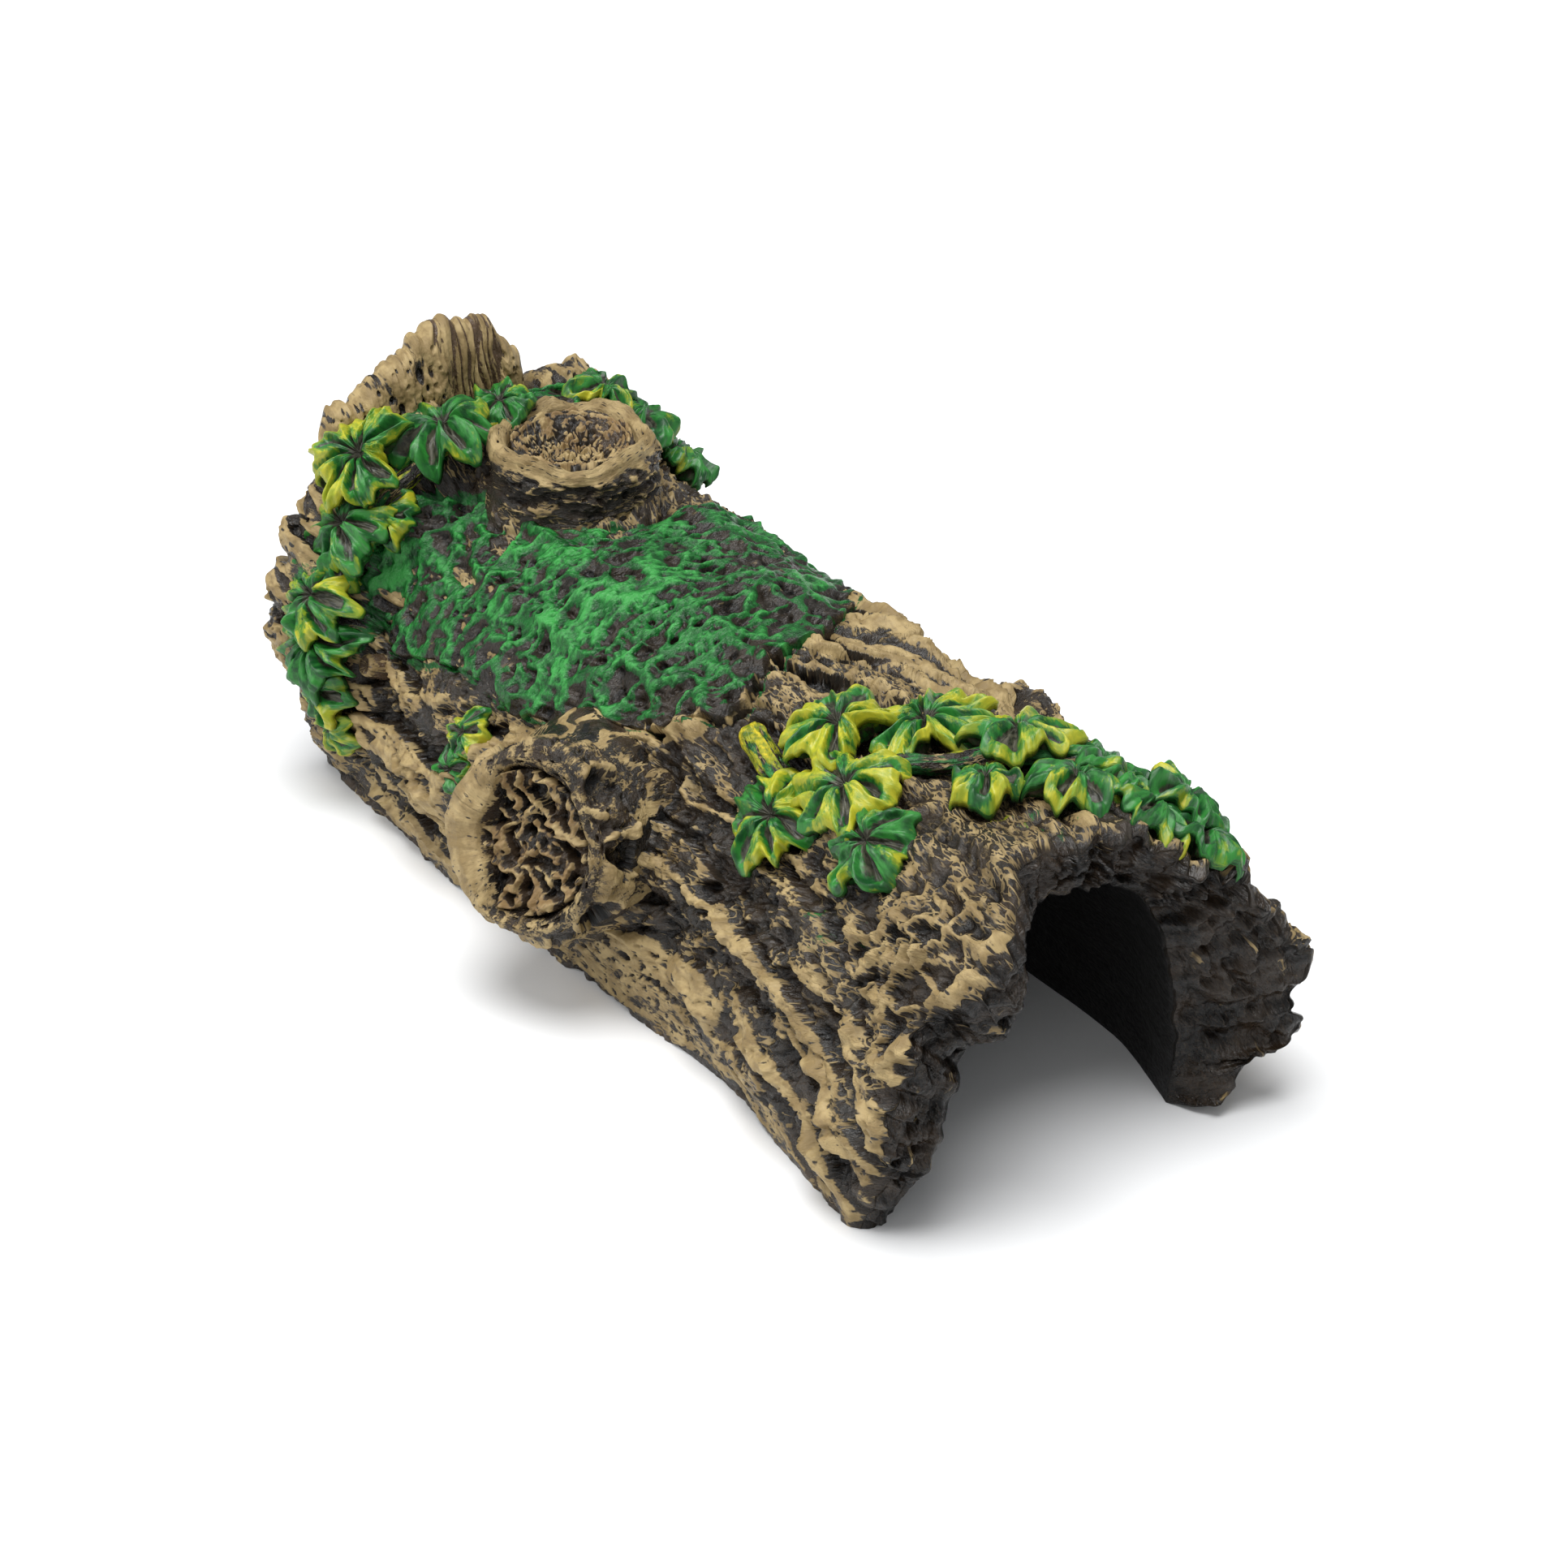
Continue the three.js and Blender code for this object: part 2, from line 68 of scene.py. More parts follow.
REAR_RIM = [
    (0, -80), (14, -84), (26, -79), (42, -85), (60, -80), (76, -84), (92, -82),
    (115, -84), (132, -80), (142, -86), (151, -80), (160, -86), (170, -83), (180, -84),
]


def smoothstep(lo, hi, v):
    t = np.clip((v - lo) / (hi - lo), 0, 1)
    return t * t * (3 - 2 * t)


def full_turn(spokes):
    """Angles of a ring's spokes, as one row."""
    return np.linspace(0, 2 * np.pi, spokes, endpoint=False)[None]


def lerp(a, b, t):
    return a + (b - a) * t


def bell(v, middle, half):
    """1 at the middle, falling away smoothly on both sides."""
    return np.exp(-(((v - middle) / half) ** 2))


def curve(pairs):
    """A smooth function through (input, output) pairs, level beyond both ends."""
    xs = np.array([p[0] for p in pairs], float)
    ys = np.array([p[1] for p in pairs], float)
    last = len(xs) - 1
    before, after = np.maximum(np.arange(last + 1) - 1, 0), np.minimum(np.arange(last + 1) + 1, last)
    slope = (ys[after] - ys[before]) / (xs[after] - xs[before])

    def value(v):
        v = np.clip(v, xs[0], xs[-1])
        i = np.clip(np.searchsorted(xs, v, side="right") - 1, 0, last - 1)
        span = xs[i + 1] - xs[i]
        t = (v - xs[i]) / span
        blend = lerp(ys[i], ys[i + 1], (3 - 2 * t) * t * t)
        return blend + slope[i] * span * t * (1 - t) ** 2 + slope[i + 1] * span * t * t * (t - 1)

    return value


def cad_noise(x, y, z):
    """The CAD source's value noise, from -1 to 1."""
    x, y, z = np.broadcast_arrays(x, y, z)
    i, j, k = np.floor(x), np.floor(y), np.floor(z)
    u, v, w = [(t * t * (3 - 2 * t)) for t in (x - i, y - j, z - k)]

    def pick(di, dj, dk):
        s = np.sin((i + di) * 127.1 + (j + dj) * 311.7 + (k + dk) * 74.7) * 43758.5453
        return s - np.floor(s)

    def edge(dj, dk):
        return lerp(pick(0, dj, dk), pick(1, dj, dk), u)

    return 2 * lerp(lerp(edge(0, 0), edge(1, 0), v), lerp(edge(0, 1), edge(1, 1), v), w) - 1


profile = [curve([(s[0], s[k]) for s in STATIONS]) for k in range(1, 6)]
front_rim, rear_rim, collar = (curve(p) for p in (FRONT_RIM, REAR_RIM, COLLAR))


def section(x, angle, inset=0.0):
    """A point of the cross-section at x: angle 0 is the right foot, 90 the roof, 180 the left foot."""
    x, angle, inset = np.broadcast_arrays(np.asarray(x, float), angle, inset)
    left, right, top, belly_left, belly_right = (f(x) for f in profile)
    left = left + inset * WALL_SIDE
    right = right - inset * WALL_SIDE
    top = top - inset * WALL_ROOF
    cos, sin = np.cos(np.radians(angle)), np.maximum(np.sin(np.radians(angle)), 0)
    height = np.where((angle <= 0) | (angle >= 180), 0, sin ** (2 / SQUARENESS))
    across = np.sign(cos) * np.abs(cos) ** (2 / SQUARENESS)
    belly = (1 - inset) * np.sin(np.pi * np.minimum(height / 0.8, 1))
    bulge = np.where(cos > 0, belly * belly_right, -belly * belly_left)
    return np.stack([x, lerp(left, right, (across + 1) / 2) + bulge, top * height], -1)


def relief(x, angle):
    """The CAD's coarse relief, in millimetres over the outline."""
    fade = np.minimum(np.sin(np.radians(angle)) * 6, 1)
    furrows = 1 - 2 * np.abs(cad_noise(x / 24, angle / 9, 3.0))
    lumps = cad_noise(x / 11, angle / 14, 7.0)
    flare = collar(angle) * smoothstep(-COLLAR_START, -COLLAR_FULL, -x)
    return RELIEF * fade * (0.6 * furrows + 0.7 * lumps) + flare


def unit(v):
    return v / np.maximum(np.linalg.norm(v, axis=-1, keepdims=True), 1e-9)


def skin(x, angle):
    """Outer surface point, outward normal, and the directions along the log and round it."""
    x, angle = np.broadcast_arrays(np.asarray(x, float), np.asarray(angle, float))
    along = unit(section(x + 1, angle) - section(x - 1, angle))
    around = unit(section(x, np.minimum(angle + 1, 180)) - section(x, np.maximum(angle - 1, 0)))
    normal = unit(np.cross(around, along))
    return section(x, angle) + normal * relief(x, angle)[..., None], normal, along, around


# Where the log's own axes lie in the part's frame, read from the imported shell's box.
def shell_low_corner():
    """The lowest corner of the CAD's shell in the log's axes, from its outline."""
    bx, bz = np.meshgrid(np.linspace(-0.5, 0.5, 31), np.linspace(-0.5, 0.5, 31), indexing="ij")
    angle = 180 * (0.5 - bx)
    x = lerp(rear_rim(angle), front_rim(angle), bz + 0.5)
    p = section(x, angle)
    outward = unit(p * [0, 1, 1.2])
    return (p + outward * relief(x, angle)[..., None]).reshape(-1, 3).min(0)


low = np.array(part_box("log_shell")[0]) * 1000
OFFSET = low - shell_low_corner()
OFFSET[2] = 0.0

# ---- Noise ---------------------------------------------------------------------------------------


def hash01(cell, seed):
    """A random number from 0 to 1 for each whole-number cell."""
    h = np.int64(seed) * 974634777
    for c, prime in zip(cell, (374761393, 668265263, 1274126177)):
        h = h + c * prime
    h = h & 0xFFFFFFFF
    h = ((h ^ (h >> 13)) * 1274126177) & 0xFFFFFFFF
    h = ((h ^ (h >> 16)) * 2246822519) & 0xFFFFFFFF
    return ((h ^ (h >> 15)) & 0xFFFFFF) / float(0x1000000)


def perlin(*at, seed=0):
    """Gradient noise in two or three dimensions, about -1 to 1."""
    at = np.broadcast_arrays(*at)
    cell = [np.floor(t).astype(np.int64) for t in at]
    part = [t - c for t, c in zip(at, cell)]
    ease = [t * t * t * (t * (t * 6 - 15) + 10) for t in part]
    total = 0.0
    for corner in itertools.product((0, 1), repeat=len(at)):
        spot = [c + d for c, d in zip(cell, corner)]
        turn = hash01(spot, seed) * 2 * np.pi
        reach = [t - d for t, d in zip(part, corner)]
        dot = reach[0] * np.cos(turn) + reach[1] * np.sin(turn)
        if len(at) == 3:
            rise = hash01(spot, seed + 57) * 2 - 1
            dot = dot * np.sqrt(1 - rise * rise) + reach[2] * rise
        weight = 1.0
        for e, d in zip(ease, corner):
            weight = weight * (e if d else 1 - e)
        total = total + weight * dot
    return total * 1.6


def fbm(*at, octaves=3, seed=0):
    total, scale, amount = 0.0, 1.0, 1.0
    for o in range(octaves):
        total = total + amount * perlin(*(t * scale for t in at), seed=seed + o)
        scale, amount = scale * 2.03, amount * 0.5
    return total


def cells(x, y, seed):
    """Distances to the nearest and next cell centres, and a random number for the cell."""
    x, y = np.broadcast_arrays(x, y)
    i, j = np.floor(x).astype(np.int64), np.floor(y).astype(np.int64)
    first, second, tag = np.full(x.shape, 9.0), np.full(x.shape, 9.0), np.zeros(x.shape)
    for di, dj in itertools.product((-1, 0, 1), repeat=2):
        spot = (i + di, j + dj)
        px = i + di + 0.1 + 0.8 * hash01(spot, seed)
        py = j + dj + 0.1 + 0.8 * hash01(spot, seed + 1)
        d = np.hypot(px - x, py - y)
        nearer = d < first
        second = np.where(nearer, first, np.minimum(second, d))
        tag = np.where(nearer, hash01(spot, seed + 2), tag)
        first = np.where(nearer, d, first)
    return first, second, tag


def blur(a, ri, rj, wrap=False):
    """Two box blurs over a grid, ri and rj cells each way."""
    for _ in range(2):
        for axis, r in ((0, ri), (1, rj)):
            pad = [(0, 0)] * a.ndim
            pad[axis] = (r + 1, r)
            c = np.cumsum(np.pad(a, pad, mode="wrap" if (wrap and axis == 1) else "edge"), axis=axis)
            n = a.shape[axis]
            a = (np.take(c, np.arange(n) + 2 * r + 1, axis=axis) - np.take(c, np.arange(n), axis=axis)) / (
                2 * r + 1
            )
    return a


def proud(h, ri, rj, wrap=False):
    """How far each point of a height grid stands above what is round it, in typical steps."""
    p = h - blur(h, ri, rj, wrap)
    return p / (np.std(p) + 1e-6)


# ---- Bark ----------------------------------------------------------------------------------------


def slits(n, width):
    """Narrow grooves where a noise crosses zero: 0 in the groove, 1 away from it."""
    return smoothstep(0.0, width, np.abs(n))


def pits(u, v, size, share, seed):
    """Round holes, 0 outside and 1 at the bottom; share is how many cells hold one."""
    near, _, tag = cells(u / size, v / size, seed)
    radius = 0.14 + 0.24 * tag / share
    return np.where(tag < share, smoothstep(1.0, 0.35, near / radius), 0.0)


def honeycomb(u, v, size, seed, sharp, warp=1.6):
    """Ridges round hollow cells: 1 on the ridges and 0 in the cells."""
    wu = warp * (perlin(u / 5, v / 5, seed=seed + 11) + 0.5 * perlin(u / 2, v / 2, seed=seed + 12))
    wv = warp * (perlin(u / 5, v / 5, seed=seed + 13) + 0.5 * perlin(u / 2, v / 2, seed=seed + 14))
    near, next_near, tag = cells((u + wu) / size, (v + wv) / size, seed)
    return 1 - smoothstep(0.0, sharp * (0.5 + 1.6 * tag), next_near - near)


def furrows(u, v, seed):
    """Long plates between steep-sided troughs, in millimetres: u runs along the grain and v across it."""
    wu, wv = 5 * perlin(u / 15, v / 10, seed=seed), 2.2 * perlin(u / 12, v / 8, seed=seed + 1)
    wv = wv + 0.8 * perlin(u / 4.5, v / 3.2, seed=seed + 2) + 0.25 * perlin(u / 1.5, v / 1.1, seed=seed + 8)
    trough = smoothstep(-0.02, -0.26, perlin((u + wu) / 23, (v + wv) / 4.6, seed=seed + 4))
    cut = smoothstep(-0.14, -0.36, perlin((u + wu) / 9, (v + wv) / 2.2, seed=seed + 5))
    fibre = perlin((u + wu) / 7, (v + wv) / 0.9, seed=seed + 6)
    lumps = fbm(u / 2.6, v / 1.9, octaves=2, seed=seed + 9)
    plates = 0.9 - 2.1 * trough - cut * (1 - trough)
    return (
        plates + 0.6 * lumps * np.maximum(trough, 0.25) + 0.16 * fibre
        + 0.4 * fbm(u / 9, v / 5, octaves=2, seed=seed + 7)
    )


def netting(u, v, seed):
    """A pitted mesh of small ridges, in millimetres."""
    wide, small = honeycomb(0.7 * u, v, 3.6, seed, 0.34), honeycomb(0.8 * u, v, 1.7, seed + 20, 0.4, 0.8)
    lumps = fbm(u / 3, v / 2.4, seed=seed + 40)
    return wide - 0.45 + 0.42 * (small - 0.5) * (0.4 + wide) + 0.4 * lumps


def bark(u, v, seed, furrow, net):
    """Bark in millimetres: so much of the furrows and so much of the netting, with holes."""
    holes = pits(0.8 * u + perlin(u / 4, v / 4, seed=seed + 60), v, 3.0, 0.28, seed + 61)
    holes = np.maximum(
        holes, 0.8 * pits(0.7 * u, v + perlin(u / 3, v / 3, seed=seed + 64), 1.5, 0.4, seed + 65)
    )
    return furrow * furrows(u, v, seed) + net * netting(u, v, seed + 30) - 0.9 * holes


# ---- Mesh helpers --------------------------------------------------------------------------------


def grid_quads(rows, columns, start=0, wrap=False):
    i, j = np.meshgrid(np.arange(rows - 1), np.arange(columns if wrap else columns - 1), indexing="ij")
    k = (j + 1) % columns
    here, there = i * columns, (i + 1) * columns
    return start + np.stack([here + j, there + j, there + k, here + k], -1).reshape(-1, 4)


def end_caps(spokes, n, flip=False):
    """Fans from vertices n and n + 1, the hubs, to the first and last ring of a tube of n vertices."""
    k, nxt = np.arange(spokes), (np.arange(spokes) + 1) % spokes
    last = n - spokes
    if flip:
        k, nxt = nxt, k
    return np.concatenate([
        np.stack([np.full(spokes, n), k, nxt], -1),
        np.stack([np.full(spokes, n + 1), last + nxt, last + k], -1),
    ])


def with_hubs(p):
    """The points of a tube of rings, then the middles of its first and last ring."""
    return np.concatenate([p.reshape(-1, 3), [p[0].mean(0), p[-1].mean(0)]])


def zip_rows(a, b):
    """Triangles between two rows of vertex numbers that run side by side."""
    out, i, j = [], 0, 0
    while i < len(a) - 1 or j < len(b) - 1:
        if j == len(b) - 1 or (i < len(a) - 1 and (i + 1) / (len(a) - 1) <= (j + 1) / (len(b) - 1)):
            out.append((a[i], b[j], a[i + 1]))
            i += 1
        else:
            out.append((a[i], b[j], b[j + 1]))
            j += 1
    return out


def volume(points, faces):
    total = 0.0
    for f in faces:
        f = np.asarray(f)
        if len(f) == 0:
            continue
        for k in range(1, f.shape[1] - 1):
            a, b, c = (points[f[:, m]] for m in (0, k, k + 1))
            total += np.einsum("ij,ij->i", a, np.cross(b, c)).sum()
    return total


def build(name, points, faces, material, values, grain, nodes):
    """A piece from points in the log's axes and groups of faces.

    values are numbers per vertex for the paint; grain holds millimetres along and across the grain.
    """
    faces = [np.asarray(f, int) for f in faces if len(f)]
    if volume(points, faces) < 0:
        faces = [f[:, ::-1] for f in faces]
    mesh = bpy.data.meshes.new(name)
    mesh.from_pydata(((points + OFFSET) / 1000).tolist(), [], [f for group in faces for f in group.tolist()])
    mesh.polygons.foreach_set("use_smooth", np.ones(len(mesh.polygons), bool))
    plain = {"high": 0.5, "green": -1.0, "yellow": -1.0, "deep": 0.0, "web": 0.4, "brown": 0.2}
    for key, value in {**plain, **values}.items():
        layer = mesh.attributes.new(key, "FLOAT", "POINT")
        layer.data.foreach_set("value", np.broadcast_to(value, (len(points),)).astype(np.float32))
    layer = mesh.attributes.new("grain", "FLOAT_VECTOR", "POINT")
    layer.data.foreach_set("vector", np.asarray(grain, np.float32).ravel())
    mesh.materials.append(material)
    piece = bpy.data.objects.new(name, mesh)
    bpy.context.scene.collection.objects.link(piece)
    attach(piece, "root")
    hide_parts(*nodes)
    return piece


def flat(u, v, w=0.0):
    """Grain coordinates for a grid of points."""
    u, v, w = np.broadcast_arrays(u, v, w)
    return np.stack([u, v, w], -1).reshape(-1, 3)


def hollowness(h, ri=9, rj=9, wrap=False):
    """1 in deep pits and grooves of a height grid, 0 on open surface. Used as the deep value, which paints
    shade there in black.
    """
    shallow, fade = 0.25, 0.9
    return np.clip((blur(h, ri, rj, wrap) - h - shallow) / fade, 0, 1)


# ---- Materials -----------------------------------------------------------------------------------


def srgb(r, g, b):
    def lin(c):
        c /= 255
        return c / 12.92 if c <= 0.04045 else ((c + 0.055) / 1.055) ** 2.4

    return (lin(r), lin(g), lin(b), 1.0)


class Nodes:
    """A short way to write a material's node tree."""

    def __init__(self, name, seed=0.0):
        self.material = bpy.data.materials.new(name)
        self.material.use_nodes = True
        self.tree = self.material.node_tree
        self.tree.nodes.clear()
        self.seed = seed
        self.position = self.node("ShaderNodeTexCoord").outputs["Object"]
        self.grain = self.node("ShaderNodeAttribute", attribute_name="grain").outputs["Vector"]

    def node(self, kind, inputs=None, **settings):
        made = self.tree.nodes.new(kind)
        for key, value in settings.items():
            setattr(made, key, value)
        for key, value in (inputs or {}).items():
            self.set(made.inputs[key], value)
        return made

    def set(self, socket, value):
        if isinstance(value, bpy.types.NodeSocket):
            self.tree.links.new(value, socket)
        else:
            socket.default_value = value

    def value(self, key):
        return self.node("ShaderNodeAttribute", attribute_name=key).outputs["Fac"]

    def place(self, along, across):
        """Grain coordinates measured in the given millimetres."""
        self.seed += 3.7
        return self.node(
            "ShaderNodeVectorMath",
            {
                0: self.grain, 1: (1 / along, 1 / across, 1 / across),
                2: (self.seed, self.seed * 0.7, self.seed * 1.3)
            },
            operation="MULTIPLY_ADD",
        ).outputs[0]

    def noise(self, along, across, detail, rough):
        """Noise that is drawn out along the grain."""
        settings = {"Vector": self.place(along, across), "Scale": 1.0, "Detail": detail, "Roughness": rough}
        return self.node("ShaderNodeTexNoise", settings).outputs["Fac"]

    def blotch(self, size_mm, detail=2.0, rough=0.55):
        """Noise in the part's own space."""
        self.seed += 3.7
        offset = (self.seed,) * 3
        at = self.node("ShaderNodeVectorMath", {0: self.position, 1: offset}, operation="ADD").outputs[0]
        settings = {"Vector": at, "Scale": 1000 / size_mm, "Detail": detail, "Roughness": rough}
        return self.node("ShaderNodeTexNoise", settings).outputs["Fac"]

    def math(self, operation, a, b=0.0, c=0.0):
        return self.node("ShaderNodeMath", {0: a, 1: b, 2: c}, operation=operation).outputs[0]

    def add(self, a, b):
        return self.math("ADD", a, b)

    def minus(self, a, b):
        return self.math("SUBTRACT", a, b)

    def times(self, a, b):
        return self.math("MULTIPLY", a, b)

    def most(self, a, b):
        return self.math("MAXIMUM", a, b)

    def swing(self, value, by):
        """How far a value from 0 to 1 lies above a half, times by."""
        return self.times(self.minus(value, 0.5), by)

    def step(self, value, lo, hi, out_lo=0.0, out_hi=1.0):
        return self.node(
            "ShaderNodeMapRange",
            {"Value": value, "From Min": lo, "From Max": hi, "To Min": out_lo, "To Max": out_hi},
            interpolation_type="SMOOTHSTEP",
        ).outputs["Result"]

    def vein(self, along, across, width):
        """Thin wandering lines: 1 on the line."""
        off = self.math("ABSOLUTE", self.minus(self.noise(along, across, 1.5, 0.5), 0.5))
        return self.step(off, 0.0, width, 1.0, 0.0)

    def mix(self, factor, a, b):
        made = self.node("ShaderNodeMix", data_type="RGBA")
        self.set(made.inputs["Factor"], factor)
        self.set(made.inputs[6], a)
        self.set(made.inputs[7], b)
        return made.outputs[2]

    def finish(self, colour, rough, height, bump, distance, shine=0.35):
        bumped = self.node("ShaderNodeBump", {"Strength": bump, "Distance": distance, "Height": height})
        shader = self.node(
            "ShaderNodeBsdfPrincipled",
            {
                "Base Color": colour, "Roughness": rough, "Normal": bumped.outputs[0],
                "Specular IOR Level": shine
            },
        )
        out = self.node("ShaderNodeOutputMaterial")
        self.tree.links.new(shader.outputs[0], out.inputs[0])
        return self.material


def dabs(n, along, across):
    """Breaks up the edges of dabbed paint."""
    coarse, fine = n.noise(along, across, 3, 0.6), n.noise(along * 0.33, across * 0.33, 2, 0.6)
    return n.add(n.times(coarse, 0.55), n.times(fine, 0.45))


def bark_material(name, seed, tan, pale, wander_by=0.7):
    """Dark undercoat, tan dabbed on what stands up, then green and yellow where moss and leaves spread. The
    deep value paints shade: black in pits, grooves and hollows.
    """
    n = Nodes(name, seed)
    black, char, brown = srgb(8, 7, 6), srgb(37, 34, 30), srgb(84, 67, 50)
    wander = n.blotch(7, 2, 0.6)
    speckle = n.noise(0.5, 0.3, 2, 0.6)
    # painted shade: the deep value, broken by noise, turns the undercoat black in pits, grooves and hollows
    deep = n.add(n.value("deep"), n.swing(n.noise(1.6, 0.9, 3, 0.6), 1.6))
    base = n.mix(n.step(deep, 0.1, 0.5), char, black)
    base = n.mix(n.times(n.step(wander, 0.4, 0.65), n.value("brown")), base, brown)
    base = n.mix(n.times(n.value("brown"), n.step(n.value("brown"), 0.5, 0.9)), base, brown)
    base = n.mix(n.step(speckle, 0.45, 0.8, 0.0, 0.3), base, brown)
    edge = n.swing(dabs(n, 2.6, 0.8), wander_by)
    level = n.add(n.value("high"), edge)
    full = n.step(level, 0.44, 0.56)
    veins = n.most(n.vein(5.0, 1.9, 0.055), n.times(n.vein(2.6, 1.1, 0.075), 0.9))
    where = n.add(n.value("web"), n.swing(n.noise(5, 3, 2, 0.5), 2.2))
    veins = n.times(veins, n.step(where, 0.35, 0.6))
    near = n.step(level, -0.1, 0.25)
    veins = n.times(n.step(veins, 0.35, 0.65), n.times(near, 0.85))
    chip = n.node("ShaderNodeTexVoronoi", {"Vector": n.place(2.6, 1.0), "Scale": 1.0, "Randomness": 1.0})
    lost = n.times(
        n.step(n.add(chip.outputs["Distance"], n.times(speckle, 0.3)), 0.34, 0.42, 1.0, 0.0),
        n.step(n.noise(3, 2, 1, 0.5), 0.45, 0.53)
    )
    painted = n.times(n.most(full, veins), n.minus(1.0, lost))
    top = n.mix(n.step(n.blotch(3.5, 3, 0.6), 0.38, 0.64), tan, pale)
    top = n.mix(n.step(n.noise(3.0, 0.7, 3, 0.6), 0.5, 0.8, 0.0, 0.45), top, brown)
    colour = n.mix(painted, base, top)
    for key, shade, mid, light in (
        ("green", srgb(10, 56, 22), srgb(22, 92, 36), srgb(56, 144, 66)),
        ("yellow", srgb(70, 96, 18), srgb(150, 150, 26), srgb(214, 188, 34)),
    ):
        spread = n.add(n.value(key), edge)
        tone = n.mix(n.step(n.blotch(2.2, 3, 0.65), 0.34, 0.62), shade, mid)
        tone = n.mix(
            n.step(n.add(n.value(key), n.minus(n.noise(0.9, 0.6, 2, 0.6), 0.5)), 0.6, 1.15), tone, light
        )
        colour = n.mix(n.step(spread, 0.46, 0.54), colour, tone)
    rough = n.step(n.add(painted, n.noise(1.2, 0.8, 2, 0.5)), 0.3, 1.6, 0.2, 0.6)
    rough = n.add(rough, n.step(n.value("deep"), 0.85, 1.0, 0.0, 0.35))
    # painted shade: flat near-black colour where deep nears 1, as all through the inside of the tunnel
    colour = n.mix(n.step(n.value("deep"), 0.85, 1.0), colour, srgb(6, 5, 4))
    height = n.add(
        n.times(n.noise(1.2, 0.7, 4, 0.65), n.step(painted, 0.0, 1.0, 1.8, 1.0)), n.times(veins, 0.35)
    )
    height = n.minus(height, n.times(lost, 0.4))
    return n.finish(colour, rough, height, 0.75, 0.0004)


def leaf_material(name, seed):
    """Grey valleys, green flanks and yellow folds and edges."""
    n = Nodes(name, seed)

    def streaked(along, across, lo, hi, dim, bright):
        return n.mix(n.step(n.noise(along, across, 3, 0.6), lo, hi), srgb(*dim), srgb(*bright))

    spread = n.swing(dabs(n, 1.6, 0.8), 0.7)
    fold = n.add(n.value("high"), spread)
    dark = streaked(1.4, 0.5, 0.35, 0.65, (28, 30, 22), (78, 76, 62))
    green = streaked(2.2, 1.0, 0.35, 0.65, (12, 66, 26), (44, 122, 46))
    lime = streaked(1.6, 0.6, 0.4, 0.6, (72, 120, 32), (124, 146, 36))
    yellow = streaked(1.2, 0.6, 0.35, 0.65, (138, 150, 36), (174, 171, 38))
    colour = n.mix(n.step(fold, 0.24, 0.4), dark, green)
    gilt = n.add(n.value("yellow"), n.times(spread, 1.5))
    colour = n.mix(n.step(gilt, 0.3, 0.46), colour, lime)
    colour = n.mix(n.step(gilt, 0.5, 0.66), colour, yellow)
    rough = n.step(n.noise(1.5, 1.5, 2, 0.6), 0.3, 0.7, 0.34, 0.5)
    return n.finish(colour, rough, n.noise(1.3, 0.5, 4, 0.6), 0.5, 0.0003, 0.45)


TAN, PALE = srgb(130, 110, 72), srgb(164, 143, 100)
bark_look = bark_material("painted_bark", 0.13, TAN, PALE)
wood_look = bark_material("painted_end_grain", 0.47, srgb(124, 100, 64), PALE)
moss_look = bark_material("painted_moss", 0.71, TAN, PALE, 0.3)
leaf_look = leaf_material("painted_leaf", 0.29)

# ---- Limb stubs ----------------------------------------------------------------------------------

# name: centre of the cut, axis, radius, lip, depth of the hollow, squash
LIMBS = {
    "top_knot": ((-59.5, -4.5, 62), (0.04, 0, 1), 13.8, 3.4, 3.5, 0.97),
    "left_limb": ((4.0, -49, 30.0), (0.35, -0.85, 0.28), 14.5, 3.0, 3.0, 1.0),
    "right_limb": ((24, 37, 33.5), (0.05, 0.85, 0.45), 11.0, 3.0, 2.5, 1.15),
}


def limb_axes(at, axis, squash):
    """Local axes of a limb: y along it. The turn is the shortest one from +Y, as in the CAD."""
    turn = Vector((0, 1, 0)).rotation_difference(Vector(axis).normalized()).to_matrix()
    m = np.array(turn)
    return np.array(at, float), m[:, 0] * squash, m[:, 1], m[:, 2]


def limb_fillet(p):
    """How far the bark swells towards each limb's root at points p, and how near the limb is."""
    below, above, rise, reach, near_reach = -26, 12, 2.2, 6, 10
    swell, near = np.zeros(p.shape[:-1]), np.zeros(p.shape[:-1])
    for at, axis, radius, _, _, _ in LIMBS.values():
        axis = np.array(axis, float) / np.linalg.norm(axis)
        d = p - np.array(at)
        away = d - (d @ axis)[..., None] * axis
        gap = np.linalg.norm(away, axis=-1) - radius
        here = (d @ axis > below) & (d @ axis < above)
        swell = np.maximum(swell, np.where(here, rise * np.clip(1 - gap / reach, 0, 1) ** 2, 0))
        near = np.maximum(near, np.where(here, np.clip(1 - gap / near_reach, 0, 1), 0))
    return swell, near


# ---- Log shell -----------------------------------------------------------------------------------

AROUND, ALONG, THROUGH, INSIDE = ((480, 620, 36, 90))


def even_angles(count):
    """Angles evenly spaced by arc length round the outside, and those lengths from the roof."""
    fine = np.linspace(0, 180, 2001)
    p = section(0.0, fine)
    run = np.concatenate([[0], np.cumsum(np.linalg.norm(np.diff(p, axis=0), axis=1))])
    angle = np.interp(np.linspace(0, run[-1], count), run, fine)
    return angle, np.interp(angle, fine, run) - np.interp(90.0, fine, run)


ANGLES, ARC = even_angles(AROUND)
